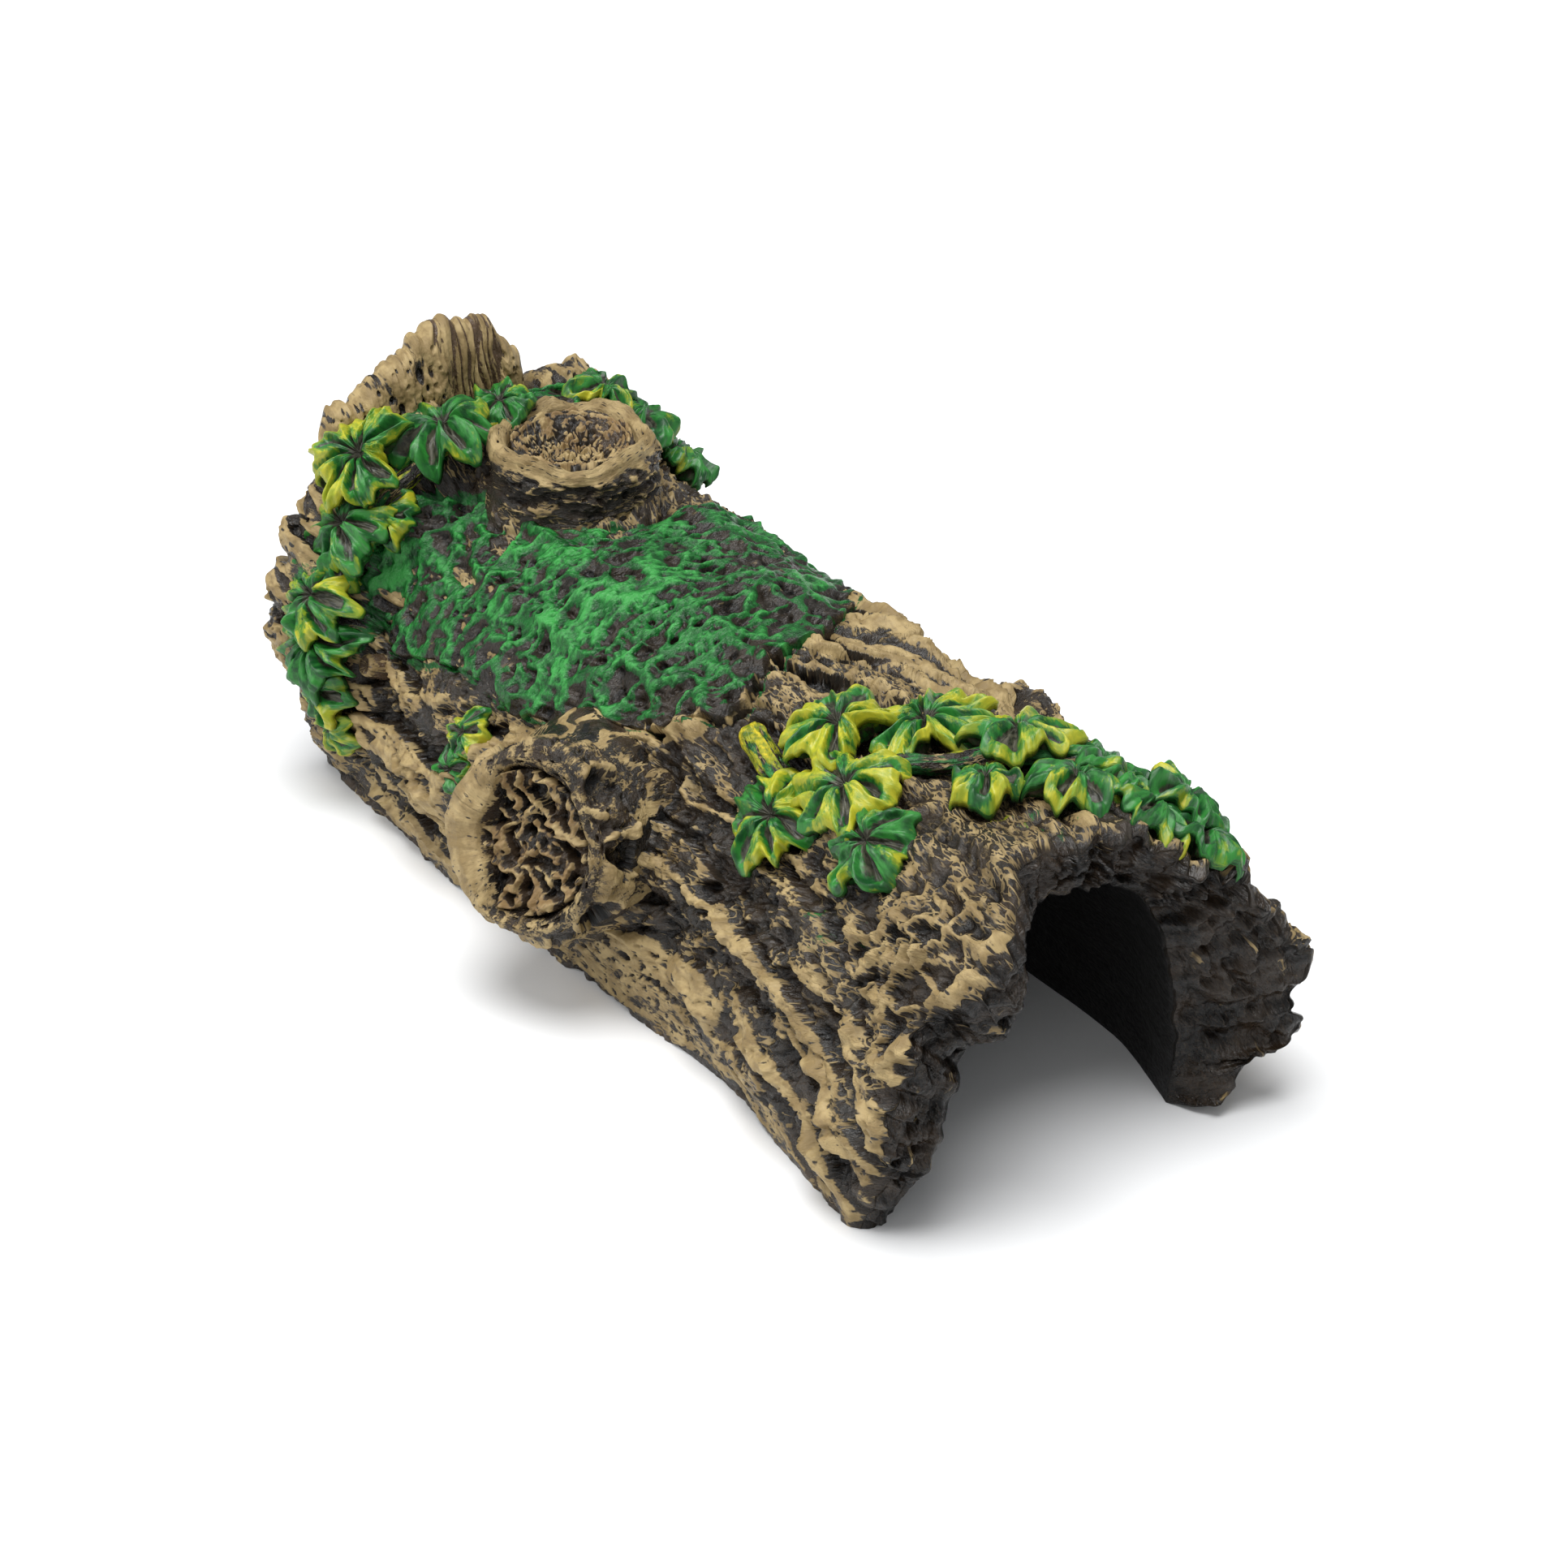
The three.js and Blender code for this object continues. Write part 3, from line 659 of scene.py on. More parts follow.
# The mouth as it is finally chipped, by angle: millimetres past the CAD's rim, the inner edge's setback
# behind the outer one, and how far the inside is pushed out
RIM_CHIPS = curve([(0, 2), (10, 1), (30, 1), (90, 0), (125, -1), (140, 0), (155, 1), (172, 2.5), (180, 4)])
INNER_EDGE = curve(
    [
        (0, 8), (40, 7), (70, 4.5), (90, 2), (110, 2), (122, 3.5), (131, 4), (140, 3), (150, 1.5), (160, 0),
        (170, 0), (180, 1)
    ]
)
MOUTH_WIDER = curve(
    [
        (0, 1.0), (20, 2.5), (45, 4.0), (65, 1.5), (80, 0), (108, 0), (122, -1.5), (136, -3.5), (146, -3.0),
        (156, -1), (168, 1.5), (180, 3)
    ]
)

# The centre of the end faces' layers, as Y and Z, and a middling distance from it
PITH, END_RADIUS = (-2, 12), 26
KNOT_FOOT = 16  # radius of the wrinkled bark round the top knot

# Kinds of bark: x and arc of the middle, reach along and round, tan cover, furrows, netting
KINDS = [
    (20, 62, 30, 10, 0.66, 0.4, 0.1), (40, 40, 54, 11, 0.13, 1.1, 0.5), (62, 60, 26, 11, 0.38, 1.25, 0.2),
    (14, 47, 17, 5.5, 0.05, 0.8, 0.3), (82, 27, 22, 17, 0.36, 0.4, 0.8), (87, 56, 12, 14, 0.36, 1.2, 0.3),
    (-46, 55, 24, 17, 0.42, 1.7, 0.2), (-44, 47, 18, 3.5, 0.05, 1.2, 0.2), (-50, -4, 17, 22, 0.16, 0.6, 0.9),
    (16, 6, 20, 18, 0.20, 1.3, 0.5), (20, 21, 11, 7, 0.10, 0.8, 0.4), (68, 8, 20, 16, 0.14, 0.5, 1.0),
    (86, 2, 12, 16, 0.20, 0.6, 0.9), (12, -20, 24, 13, 0.50, 1.5, 0.2), (60, -24, 30, 14, 0.40, 0.8, 0.8),
]
# Folds and hollows in the bark: height, half width, then a path of x and arc
FOLDS = [
    (3.2, 2.2, [(-34, 48), (-24, 40), (-12, 34), (0, 29), (10, 22)]),
    (-2.4, 2.6, [(-14, 40), (-4, 37), (4, 35), (10, 31)]),
    (2.4, 2.2, [(2, 51), (10, 54), (22, 57), (36, 58)]), (-2.2, 2.0, [(2, 45), (10, 47), (20, 49), (30, 49)]),
    (1.8, 1.5, [(12, 41), (34, 43), (56, 47), (74, 55), (86, 66)]),
    (-1.8, 1.8, [(30, 38), (46, 40), (62, 43), (76, 49), (88, 60)]),
    (1.8, 1.6, [(38, 54), (56, 57), (70, 62), (80, 69)]),
    (-1.8, 1.7, [(34, 50), (52, 52), (66, 56), (78, 64)]),
    (1.6, 1.2, [(56, 41), (70, 44), (84, 52), (92, 60)]), (-1.6, 1.6, [(-66, 43), (-50, 42), (-38, 44)]),
    (2.0, 2.2, [(-64, 52), (-50, 54), (-36, 54)]), (-2.2, 1.8, [(-66, 58), (-48, 59), (-30, 62)]),
    (1.6, 1.6, [(-66, 64), (-46, 65), (-26, 67)]),
    (2.4, 3.0, [(-8, -14), (6, -20), (22, -27)]), (1.6, 1.5, [(0, 0), (12, -8), (28, -16)]),
    (-1.6, 1.6, [(-4, -8), (8, -14), (24, -22)]),
    (1.4, 1.2, [(62, 33), (74, 32), (84, 27), (92, 20)]), (-1.8, 2.4, [(72, 38), (82, 37), (90, 33)]),
    (1.4, 1.3, [(70, 43), (82, 43), (92, 42)]),
]


def arc_of(angle):
    return np.interp(angle, ANGLES, ARC)


def patch(x, s, x0, s0, rx, rs):
    """1 inside an oval patch of the bark and 0 outside it."""
    r = np.hypot((x - x0) / rx, (s - s0) / rs) + 0.25 * perlin(x / 7, s / 7, seed=31)
    return 1 - smoothstep(0.55, 1.15, r)


def path_gap(x, s, path):
    """Distance from a path over the bark."""
    x = x + 1.6 * perlin(x / 6, s / 6, seed=33)
    s = s + 1.6 * perlin(x / 6, s / 6, seed=34)
    gap = np.full(np.shape(x), 99.0)
    for (x0, s0), (x1, s1) in zip(path, path[1:]):
        dx, ds = x1 - x0, s1 - s0
        t = np.clip(((x - x0) * dx + (s - s0) * ds) / (dx * dx + ds * ds), 0, 1)
        gap = np.minimum(gap, np.hypot(x - x0 - t * dx, s - s0 - t * ds))
    return gap


def outer_bark(x, s, p):
    """Height, tan cover and netting of the bark over the log's outside."""
    cover, furrow, net = 0.34 + 0.2 * perlin(x / 20, s / 14, seed=250), 1.0, 0.4
    for x0, s0, rx, rs, c, f, m in KINDS:
        here = patch(x, s, x0, s0, rx, rs)
        cover, furrow, net = lerp(cover, c, here), lerp(furrow, f, here), lerp(net, m, here)
    down = np.maximum(x - 38, 0) ** 2 / 260 * smoothstep(14, 40, s)
    slant = 9 * np.tanh((x - 12) / 14) * np.exp(-(((x - 12) / 24) ** 2) - ((s + 10) / 16) ** 2)
    h = bark(x, s - down + slant, 100, furrow, net)
    comb = patch(x, s, 81, 29, 20, 17)
    cell = honeycomb(0.85 * x, s, 6.0, 210, 0.34, 2.4)
    h = lerp(h, 0.4 * h + 2.6 * (cell - 0.6) + 0.5 * fbm(x / 2.2, s / 2.2, seed=220), comb)
    cover = lerp(cover, 0.03 + 0.46 * cell, 0.85 * comb)
    for number, (height, half, path) in enumerate(FOLDS):
        gap = path_gap(x, s, path) / half
        bump = np.exp(-gap * gap) * (0.6 + 0.7 * perlin(x / 9, s / 5, seed=260 + number))
        h = h + height * bump
        cover = lerp(cover, 0.94 if height > 0 else 0.03, 0.75 * np.clip(bump, 0, 1))
    h = lerp(h, blur(h, 2, 2), 0.8 * smoothstep(34, 16, np.abs(s)) * smoothstep(40, 56, x))
    swell, near = limb_fillet(p)
    at = np.array(LIMBS["top_knot"][0])
    dx, dy = p[..., 0] - at[0], p[..., 1] - at[1]
    r = np.hypot(dx, dy)
    folds = smoothstep(25, 18, r + 2 * perlin(x / 6, s / 6, seed=243)) * (x < -28)
    turns = bark(np.arctan2(dy, dx) * KNOT_FOOT, 1.35 * r, 241, 0.62, 0.35)
    h, cover = lerp(h, turns, folds), lerp(cover, 0.24, folds)
    cover = cover - 0.04 * near
    return h, swell, np.clip(cover, 0.04, 0.93), net


def brush(cover, h, ri=5, rj=5, wrap=False):
    """Paint level: above a half, tan has caught. cover is the share of the surface it should catch."""
    lean = 0.16 * np.log(cover / (1 - cover))
    return 0.43 + lean + 0.09 * proud(h, ri, rj, wrap) + 0.16 * proud(h, 3 * ri, 3 * rj, wrap)


def make_shell():
    foot_fade = np.clip(np.sin(np.radians(ANGLES)) * 9, 0.4, 1)
    jag = 1.5 * perlin(ANGLES / 6, 0.5, seed=40) + 0.9 * perlin(ANGLES / 2.2, 1.5, seed=41)
    jag = jag * np.minimum(np.sin(np.radians(ANGLES)) * 5, 1)
    front, rear = front_rim(ANGLES) + RIM_CHIPS(ANGLES) + jag, rear_rim(ANGLES) + jag[::-1] + 1
    # outside
    t = np.linspace(0, 1, ALONG)[:, None]
    x = lerp(rear[None], front[None], t)
    angle, s = np.broadcast_to(ANGLES[None], x.shape), np.broadcast_to(ARC[None], x.shape)
    base, normal, _, _ = skin(x, angle)
    h, swell, cover, net = outer_bark(x, s, base)
    edge_front, edge_rear = front[None] - x, x - rear[None]
    scallop = (
        np.abs(np.sin(s * np.pi / 5.2 + 0.8 * perlin(s / 9, 0.5, seed=44))) * smoothstep(-18, -28, s)
        * smoothstep(9, 1, edge_front)
    )
    shoulder = 3.2 * bell(angle, 36, 17) * smoothstep(58, 80, x)
    pinch = -3.0 * smoothstep(9, 4, angle) * smoothstep(70, 80, x)
    side = 0.9 * smoothstep(40, 66, s) + 2.0 * np.exp(-(((x - 8) / 20) ** 2) - (((s + 22) / 10) ** 2))
    rounding = 1.5 * np.clip(1 - np.minimum(edge_front, edge_rear) / 2.0, 0, 1) ** 2
    rise = (h + swell + 1.8 * (scallop - 0.4) * (scallop > 0) + shoulder + side) * foot_fade + pinch
    outside = base + normal * (rise - rounding)[..., None]
    chips = 1.3 * perlin(base[..., 1] / 3, base[..., 2] / 3, x / 3, seed=43) * foot_fade
    outside[..., 0] += chips * (np.clip(1 - edge_front / 4, 0, 1) - np.clip(1 - edge_rear / 4, 0, 1))
    base_line = smoothstep(1.8, 0.4, outside[..., 2])
    high = (
        brush(cover, h) - 0.3 * base_line
        - 0.35 * (np.clip(1 - edge_front / 1.5, 0, 1)) * smoothstep(20, 0, s)
    )
    high = (
        high + 0.22 * np.clip(1 - np.abs(edge_front - 1.8) / 2.0, 0, 1) * smoothstep(-10, 10, s)
        - 0.25 * smoothstep(3, 0, edge_front) * smoothstep(-8, -16, s)
    )
    deep = hollowness(h)
    # inside
    ti = np.linspace(0, 1, INSIDE)[:, None]
    xi = lerp(rear[None] + 1, (front - jag * 0.4 - INNER_EDGE(ANGLES))[None], ti)
    inside = section(xi, ANGLES[None], 1.0)
    roof = unit(inside * [0, 1, 1.2])
    uneven = 0.5 * cad_noise(xi / 9, ANGLES[None] / 12, 11.0) + 0.35 * fbm(xi / 9, ARC[None] / 6, seed=50)
    uneven = (
        uneven * foot_fade + MOUTH_WIDER(ANGLES)[None] * smoothstep(30, 70, xi)
        + 0.6 * perlin(ANGLES[None] / 5, 0.5, seed=51) * smoothstep(0.97, 1, ti) * foot_fade
    )
    inside = inside + roof * uneven[..., None]

    # broken end faces between the outside's last row and the inside's
    def end_face(outer_row, inner_row, sign, seed):
        w = np.linspace(0, 1, THROUGH)[1:-1, None, None]
        face = lerp(outer_row[None], inner_row[None], w)
        y, z = face[..., 1], face[..., 2]
        across, up = y - PITH[0], z - PITH[1]
        round_way, out_way = np.arctan2(up, across) * END_RADIUS, np.hypot(across, up)
        wob = 2.6 * perlin(y / 7, z / 7, seed=seed)
        layers = slits(perlin((round_way + wob) / 11, (out_way + wob) / 3.4, seed=seed + 1), 0.5)
        fine = slits(perlin((round_way + wob) / 4, (out_way - wob) / 1.3, seed=seed + 2), 0.5)
        lumps = fbm(y / 4.5, z / 4.5, octaves=4, seed=seed + 3)
        dent = pits(y, z, 5.0, 0.35, seed + 7)
        fade = np.minimum(np.minimum(w[..., 0] * 6, (1 - w[..., 0]) * 5), 1)
        lump = 1.7 * (layers - 0.6) + 0.35 * (fine - 0.6) + 0.7 * lumps - 1.2 * dent
        face[..., 0] += sign * (lump * fade * foot_fade[None] + 1.2 * np.sin(np.pi * w[..., 0]))
        return face, lump, flat(round_way, out_way)

    front_face, front_lump, front_grain = end_face(outside[-1], inside[-1], 1, 60)
    rear_face, rear_lump, rear_grain = end_face(outside[0], inside[0], -1, 70)
    parts = [outside, inside, front_face, rear_face]
    starts = np.cumsum([0] + [p.shape[0] * p.shape[1] for p in parts])
    points = np.concatenate([p.reshape(-1, 3) for p in parts])
    points[:, 2] = np.maximum(points[:, 2], 0)
    out, ins, ff, rf = (
        np.arange(a, a + p.shape[0] * p.shape[1]).reshape(p.shape[:2]) for a, p in zip(starts, parts)
    )
    quads = [grid_quads(ALONG, AROUND, 0), grid_quads(INSIDE, AROUND, starts[1])[:, ::-1]]
    for rows, flip in ((np.vstack([out[-1], ff, ins[-1]]), False), (np.vstack([out[0], rf, ins[0]]), True)):
        a = np.stack([rows[:-1, :-1], rows[1:, :-1], rows[1:, 1:], rows[:-1, 1:]], -1).reshape(-1, 4)
        quads.append(a[:, ::-1] if flip else a)
    feet = []
    for column, flip in ((0, False), (AROUND - 1, True)):
        inner_line = np.concatenate(
            [[out[0, column]], rf[:, column], ins[:, column], ff[::-1, column], [out[-1, column]]]
        )
        tri = np.array(zip_rows(out[:, column], inner_line))
        feet.append(tri[:, ::-1] if flip else tri)
    tri = np.concatenate(feet)
    tri = tri[(tri[:, 0] != tri[:, 1]) & (tri[:, 1] != tri[:, 2]) & (tri[:, 0] != tri[:, 2])]

    def column(*values):
        return np.concatenate([np.broadcast_to(v, p.shape[:2]).ravel() for v, p in zip(values, parts)])

    # bare chips of the cast at the two front feet
    inward = np.linspace(0, 1, THROUGH)[1:-1, None]
    chip_left = (
        bell(front_face[..., 2], 9, 2.2) * smoothstep(-20, -30, front_face[..., 1])
        * smoothstep(0.5, 0.9, inward)
    )
    chip_right = (
        bell(front_face[..., 2], 3, 2.2) * smoothstep(20, 28, front_face[..., 1])
        * smoothstep(0.4, 0.1, inward)
    )
    face_high = 0.13 * proud(front_lump, 3, 4) + 0.75 * chip_left + 0.6 * chip_right
    arch = bell(front_face[..., 2], 50, 6) * smoothstep(0.5, 0.0, inward)
    face_high = face_high + 0.22 * arch
    values = {
        "high": column(high, -1.0, face_high, 0.2 + 0.14 * proud(rear_lump, 3, 4)),
        "green": column(moss_spread(x, s), -1.0, -1.0, -1.0),
        "yellow": column(yellow_spread(x, s), -1.0, -1.0, -1.0),
        # painted shade through deep: the outside's pits and grooves, the whole inside of the tunnel in black,
        # and the front end face partly for its own dark resin, partly as painted shade in its dips
        "deep": column(0.9 * deep, 1.0, 0.45 + 0.4 * np.clip(-front_lump - 0.4, 0, 1), 0.3),
        "web": column(net * 0.6 + 0.2, 0.0, 0.12, 0.2),
        "brown": column(0.2 + 0.4 * base_line, 0.0, 0.22, 0.35),
    }
    grain = np.concatenate(
        [flat(x, s), flat(xi, np.broadcast_to(ARC[None], xi.shape), 40.0), front_grain, rear_grain]
    )
    return build(
        "log_bark", points, [np.concatenate(quads), tri], bark_look, values, grain, ["log_shell"]
    )


# ---- Moss ----------------------------------------------------------------------------------------

MOSS_ROOT = 1.8  # how far the crust reaches down into the bark
MAT_CENTRE = (-28, 104)
MAT_OUTLINE = [
    (15, 112), (6, 124), (-8, 135), (-26, 142), (-40, 141), (-60, 148), (-68, 140), (-70, 124), (-63, 108),
    (-44, 94), (-45, 62), (-36, 46), (-20, 50), (-2, 72), (8, 96),
]
MAT_RISE = curve([(-70, 0.8), (-50, 1.3), (-20, 2.2), (0, 3.4), (15, 4.0)])
PATCH_CENTRE = (-76, 80)
PATCH_OUTLINE = [(-72, 72), (-73, 92), (-77, 96), (-80, 82), (-80, 66), (-76, 62)]


def closed_spline(points, t):
    """Centripetal Catmull-Rom loop through points, at t from 0 to 1."""
    p = np.array(points, float)
    n = len(p)
    at = (t % 1.0) * n
    i = np.floor(at).astype(int) % n
    w = (at - np.floor(at))[..., None]
    p0, p1, p2, p3 = p[(i - 1) % n], p[i], p[(i + 1) % n], p[(i + 2) % n]
    pairs = ((p0, p1), (p1, p2), (p2, p3))
    d0, d1, d2 = (np.maximum(np.linalg.norm(b - a, axis=-1) ** 0.5, 1e-4)[..., None] for a, b in pairs)
    m1 = ((p1 - p0) / d0 - (p2 - p0) / (d0 + d1) + (p2 - p1) / d1) * d1
    m2 = ((p2 - p1) / d1 - (p3 - p1) / (d1 + d2) + (p3 - p2) / d2) * d1
    return (2 * p1 - 2 * p2 + m1 + m2) * w**3 + (-3 * p1 + 3 * p2 - 2 * m1 - m2) * w**2 + m1 * w + p1


def mat_margin(x, s):
    """Millimetres outside the moss mat's outline, negative inside."""
    cx, cs = MAT_CENTRE[0], arc_of(MAT_CENTRE[1])
    edge = closed_spline([(a, arc_of(b)) for a, b in MAT_OUTLINE], np.linspace(0, 1, 721))
    edge_turn = (np.arctan2(edge[:, 1] - cs, edge[:, 0] - cx) / (2 * np.pi)) % 1.0
    order = np.argsort(edge_turn)
    turn = (np.arctan2(s - cs, x - cx) / (2 * np.pi)) % 1.0
    reach = np.hypot(edge[:, 1] - cs, edge[:, 0] - cx)[order]
    return np.hypot(s - cs, x - cx) - np.interp(turn, edge_turn[order], reach, period=1.0)


def spots(level, x, s, rows, less=0.0):
    """Raises a level inside oval patches: x and arc of the middle, reach along and round, amount."""
    for *place, amount in rows:
        level = np.maximum(level, amount * patch(x, s, *place) - less)
    return level


def moss_spread(x, s):
    """Where green paint has strayed from the moss and leaves onto the bark."""
    out = mat_margin(x, s)
    rear = smoothstep(-34, -56, x)
    level = 0.62 - np.abs(out) / lerp(1.6, 9.0, rear)
    level = spots(level, x, s, (
        (-75, -4, 9, 24, 0.66), (-72, 36, 9, 22, 0.5), (58, 34, 6, 5, 0.36), (66, 30, 5, 4, 0.34),
        (30, 30, 14, 7, 0.3), (66, -6, 14, 12, 0.34), (-34, 42, 5, 5, 0.45), (6, 43, 4, 3, 0.4),
    ))
    return np.clip(level + 0.2 * perlin(x / 2.6, s / 2.6, seed=80), -1, 1.2)


def yellow_spread(x, s):
    """Where yellow paint has strayed from the leaves and stems onto the bark."""
    level = spots(np.full(np.shape(x), -1.0), x, s, (
        (18, 18, 8, 3, 0.45), (70, 3, 6, 5, 0.46), (62, 0, 5, 5, 0.42), (-70, 60, 5, 6, 0.52),
        (-70, 50, 5, 8, 0.3), (-45, 40, 7, 3, 0.4),
    ), 0.1)
    return level + 0.15 * perlin(x / 2.2, s / 2.2, seed=85)


def make_mat(name, node, centre, outline, rise, rings, spokes, seed, lip):
    """A crust of netted moss that follows the bark inside an outline."""
    turn = np.linspace(0, 1, spokes, endpoint=False)
    edge = closed_spline(outline, turn)
    r = np.linspace(0, 1, rings) ** 0.7
    r[0] = 0.003
    wave_x, wave_y = np.cos(turn * 2 * np.pi), np.sin(turn * 2 * np.pi)
    ragged = (
        0.035 * perlin(wave_x * 7, wave_y * 7, seed=seed)
        + 0.03 * perlin(wave_x * 17, wave_y * 17, seed=seed + 9)
    )
    reach = r[:, None] * (1 + ragged[None] * r[:, None] ** 3)
    x, angle = lerp(centre[0], edge[None, :, 0], reach), lerp(centre[1], edge[None, :, 1], reach)
    rim = np.broadcast_to(r[:, None], x.shape)
    base, normal, _, _ = skin(x, angle)
    s = arc_of(angle)
    thick = rise(x) * (1 - 0.25 * rim**4)
    bend_x, bend_s = 1.6 * perlin(x / 6, s / 6, seed=seed + 30), 1.6 * perlin(x / 6, s / 6, seed=seed + 31)
    wide = honeycomb(x, 0.75 * s, 4.8, seed + 1, 0.5, 1.5)
    small = honeycomb(x, 0.8 * s, 2.5, seed + 40, 0.5, 0.9)
    thread = 1 - slits(perlin((x + bend_x) / 1.5, (s + bend_s) / 6.5, seed=seed + 3), 0.3)
    solid = smoothstep(
        0.1, 0.5,
        perlin(x / 9, s / 8, seed=seed + 2) + 0.6 * patch(x, s, -22, 17, 11, 10)
        - 0.25 * smoothstep(-18, 4, x)
    )
    grain = fbm(x / 1.8, s / 1.8, octaves=3, seed=seed + 4)
    holes = pits(x, s, 2.8, 0.5, seed + 5)
    holes = np.maximum(holes, 0.7 * pits(x + bend_x, s + bend_s, 1.6, 0.5, seed + 6)) * (1 - 0.35 * solid)
    net = np.maximum(wide, 0.75 * small * smoothstep(-0.3, 0.2, perlin(x / 6, s / 6, seed=seed + 12)))
    h = 1.8 * (net - 0.5) * (1 - 0.5 * solid) + 0.06 * thread + 0.5 * solid + 0.24 * grain - 1.2 * holes
    h = blur(h, 1, 1, True)
    down = np.clip((rim - 0.972) / 0.028, 0, 1) ** 2
    lift = (thick + h * (1 - 0.6 * down)) * (1 - down) - 0.9 * down
    top = base + normal * lift[..., None]
    under = base - normal * MOSS_ROOT
    n = rings * spokes
    points = np.concatenate([top.reshape(-1, 3), under.reshape(-1, 3), [top[0].mean(0), under[0].mean(0)]])
    k, nxt = np.arange(spokes), (np.arange(spokes) + 1) % spokes
    last = (rings - 1) * spokes
    quads = [
        grid_quads(rings, spokes, 0, True), grid_quads(rings, spokes, n, True)[:, ::-1],
        np.stack([last + k, n + last + k, n + last + nxt, last + nxt], -1),
    ]
    caps = np.concatenate([
        np.stack([np.full(spokes, 2 * n), k, nxt], -1),
        np.stack([np.full(spokes, 2 * n + 1), n + nxt, n + k], -1),
    ])
    lip_here = (
        lip * smoothstep(0.93, 1.0, rim + 0.05 * perlin(x / 4, s / 4, seed=seed + 7))
        * smoothstep(-10, 4, x) * smoothstep(0, 12, s)
    )
    lip_here = np.maximum(
        lip_here,
        0.8 * lip * smoothstep(0.9, 0.98, rim + 0.06 * perlin(x / 4, s / 4, seed=seed + 8))
        * smoothstep(-30, -14, x) * smoothstep(22, 28, s)
    )
    thin = (
        0.04 * smoothstep(-30, -60, x) + 0.04 * smoothstep(-8, 12, x)
        + 0.14 * smoothstep(6, -14, s) * smoothstep(-50, -10, x)
    )
    level = (
        0.23 + 0.46 * net + 0.10 * proud(h, 5, 5, True) + 0.26 * solid
        + 0.22 * fbm(x / 9, s / 7, octaves=2, seed=seed + 10) - 0.26 * holes - thin
    )
    # painted shadow: the wall where the mat's edge drops to the bark loses its green and tan and is made
    # black through deep
    wall = smoothstep(0.35, 0.9, down)
    ends = np.zeros(n + 2)
    values = {
        "green": np.concatenate([(level - 0.75 * lip_here - 0.3 * wall).ravel(), ends - 1]),
        "high": np.concatenate(
            [(0.02 + 0.1 * proud(h, 5, 5, True) + 0.5 * lip_here - 0.6 * wall).ravel(), ends]
        ),
        "yellow": np.concatenate(
            [(-0.3 + 0.72 * patch(x, s, 8, 26, 3, 4) + 0.6 * patch(x, s, -44, 36, 4, 3)).ravel(), ends - 1]
        ),
        # painted shade: black in the crust's hollows and holes, on its edge wall and on its buried underside
        "deep": np.concatenate(
            [
                np.maximum(hollowness(h, 8, 8, True) * 0.82 + 0.3 * holes * (1 - solid), wall).ravel(),
                ends + 1
            ]
        ),
        "web": 0.2,
        "brown": 0.15,
    }
    coordinates = np.concatenate([flat(s, x, 80.0), flat(s, x, 90.0), np.zeros((2, 3))])
    return build(name, points, [np.concatenate(quads), caps], moss_look, values, coordinates, [node])


# ---- Splinters -----------------------------------------------------------------------------------


def closed_grid(front, back, name, node, values, grain):
    """A piece from two facing grids joined round their edges."""
    rows, columns = front.shape[:2]
    n = rows * columns
    f = np.arange(n).reshape(rows, columns)
    loop = np.concatenate([f[0, :-1], f[:-1, -1], f[-1, :0:-1], f[:0:-1, 0]])
    nxt = np.roll(loop, -1)
    side = np.stack([loop, nxt, nxt + n, loop + n], -1)
    quads = np.concatenate(
        [grid_quads(rows, columns, 0)[:, ::-1], grid_quads(rows, columns, n), side[:, ::-1]]
    )
    values = {k: np.concatenate([np.broadcast_to(v, (rows, columns)).ravel()] * 2) for k, v in values.items()}
    points = np.concatenate([front.reshape(-1, 3), back.reshape(-1, 3)])
    return build(
        name, points, [quads], bark_look, values, np.concatenate([grain, grain + [0, 0, 30]]), [node],
    )


TALL_TOP = [
    (-37.5, 58), (-35, 63), (-31, 64.5), (-26, 68.5), (-21.5, 72), (-19, 74), (-14.5, 75.5), (-10.5, 73.5),
    (-6, 73), (-3.5, 69), (0, 64.5), (1, 56),
]


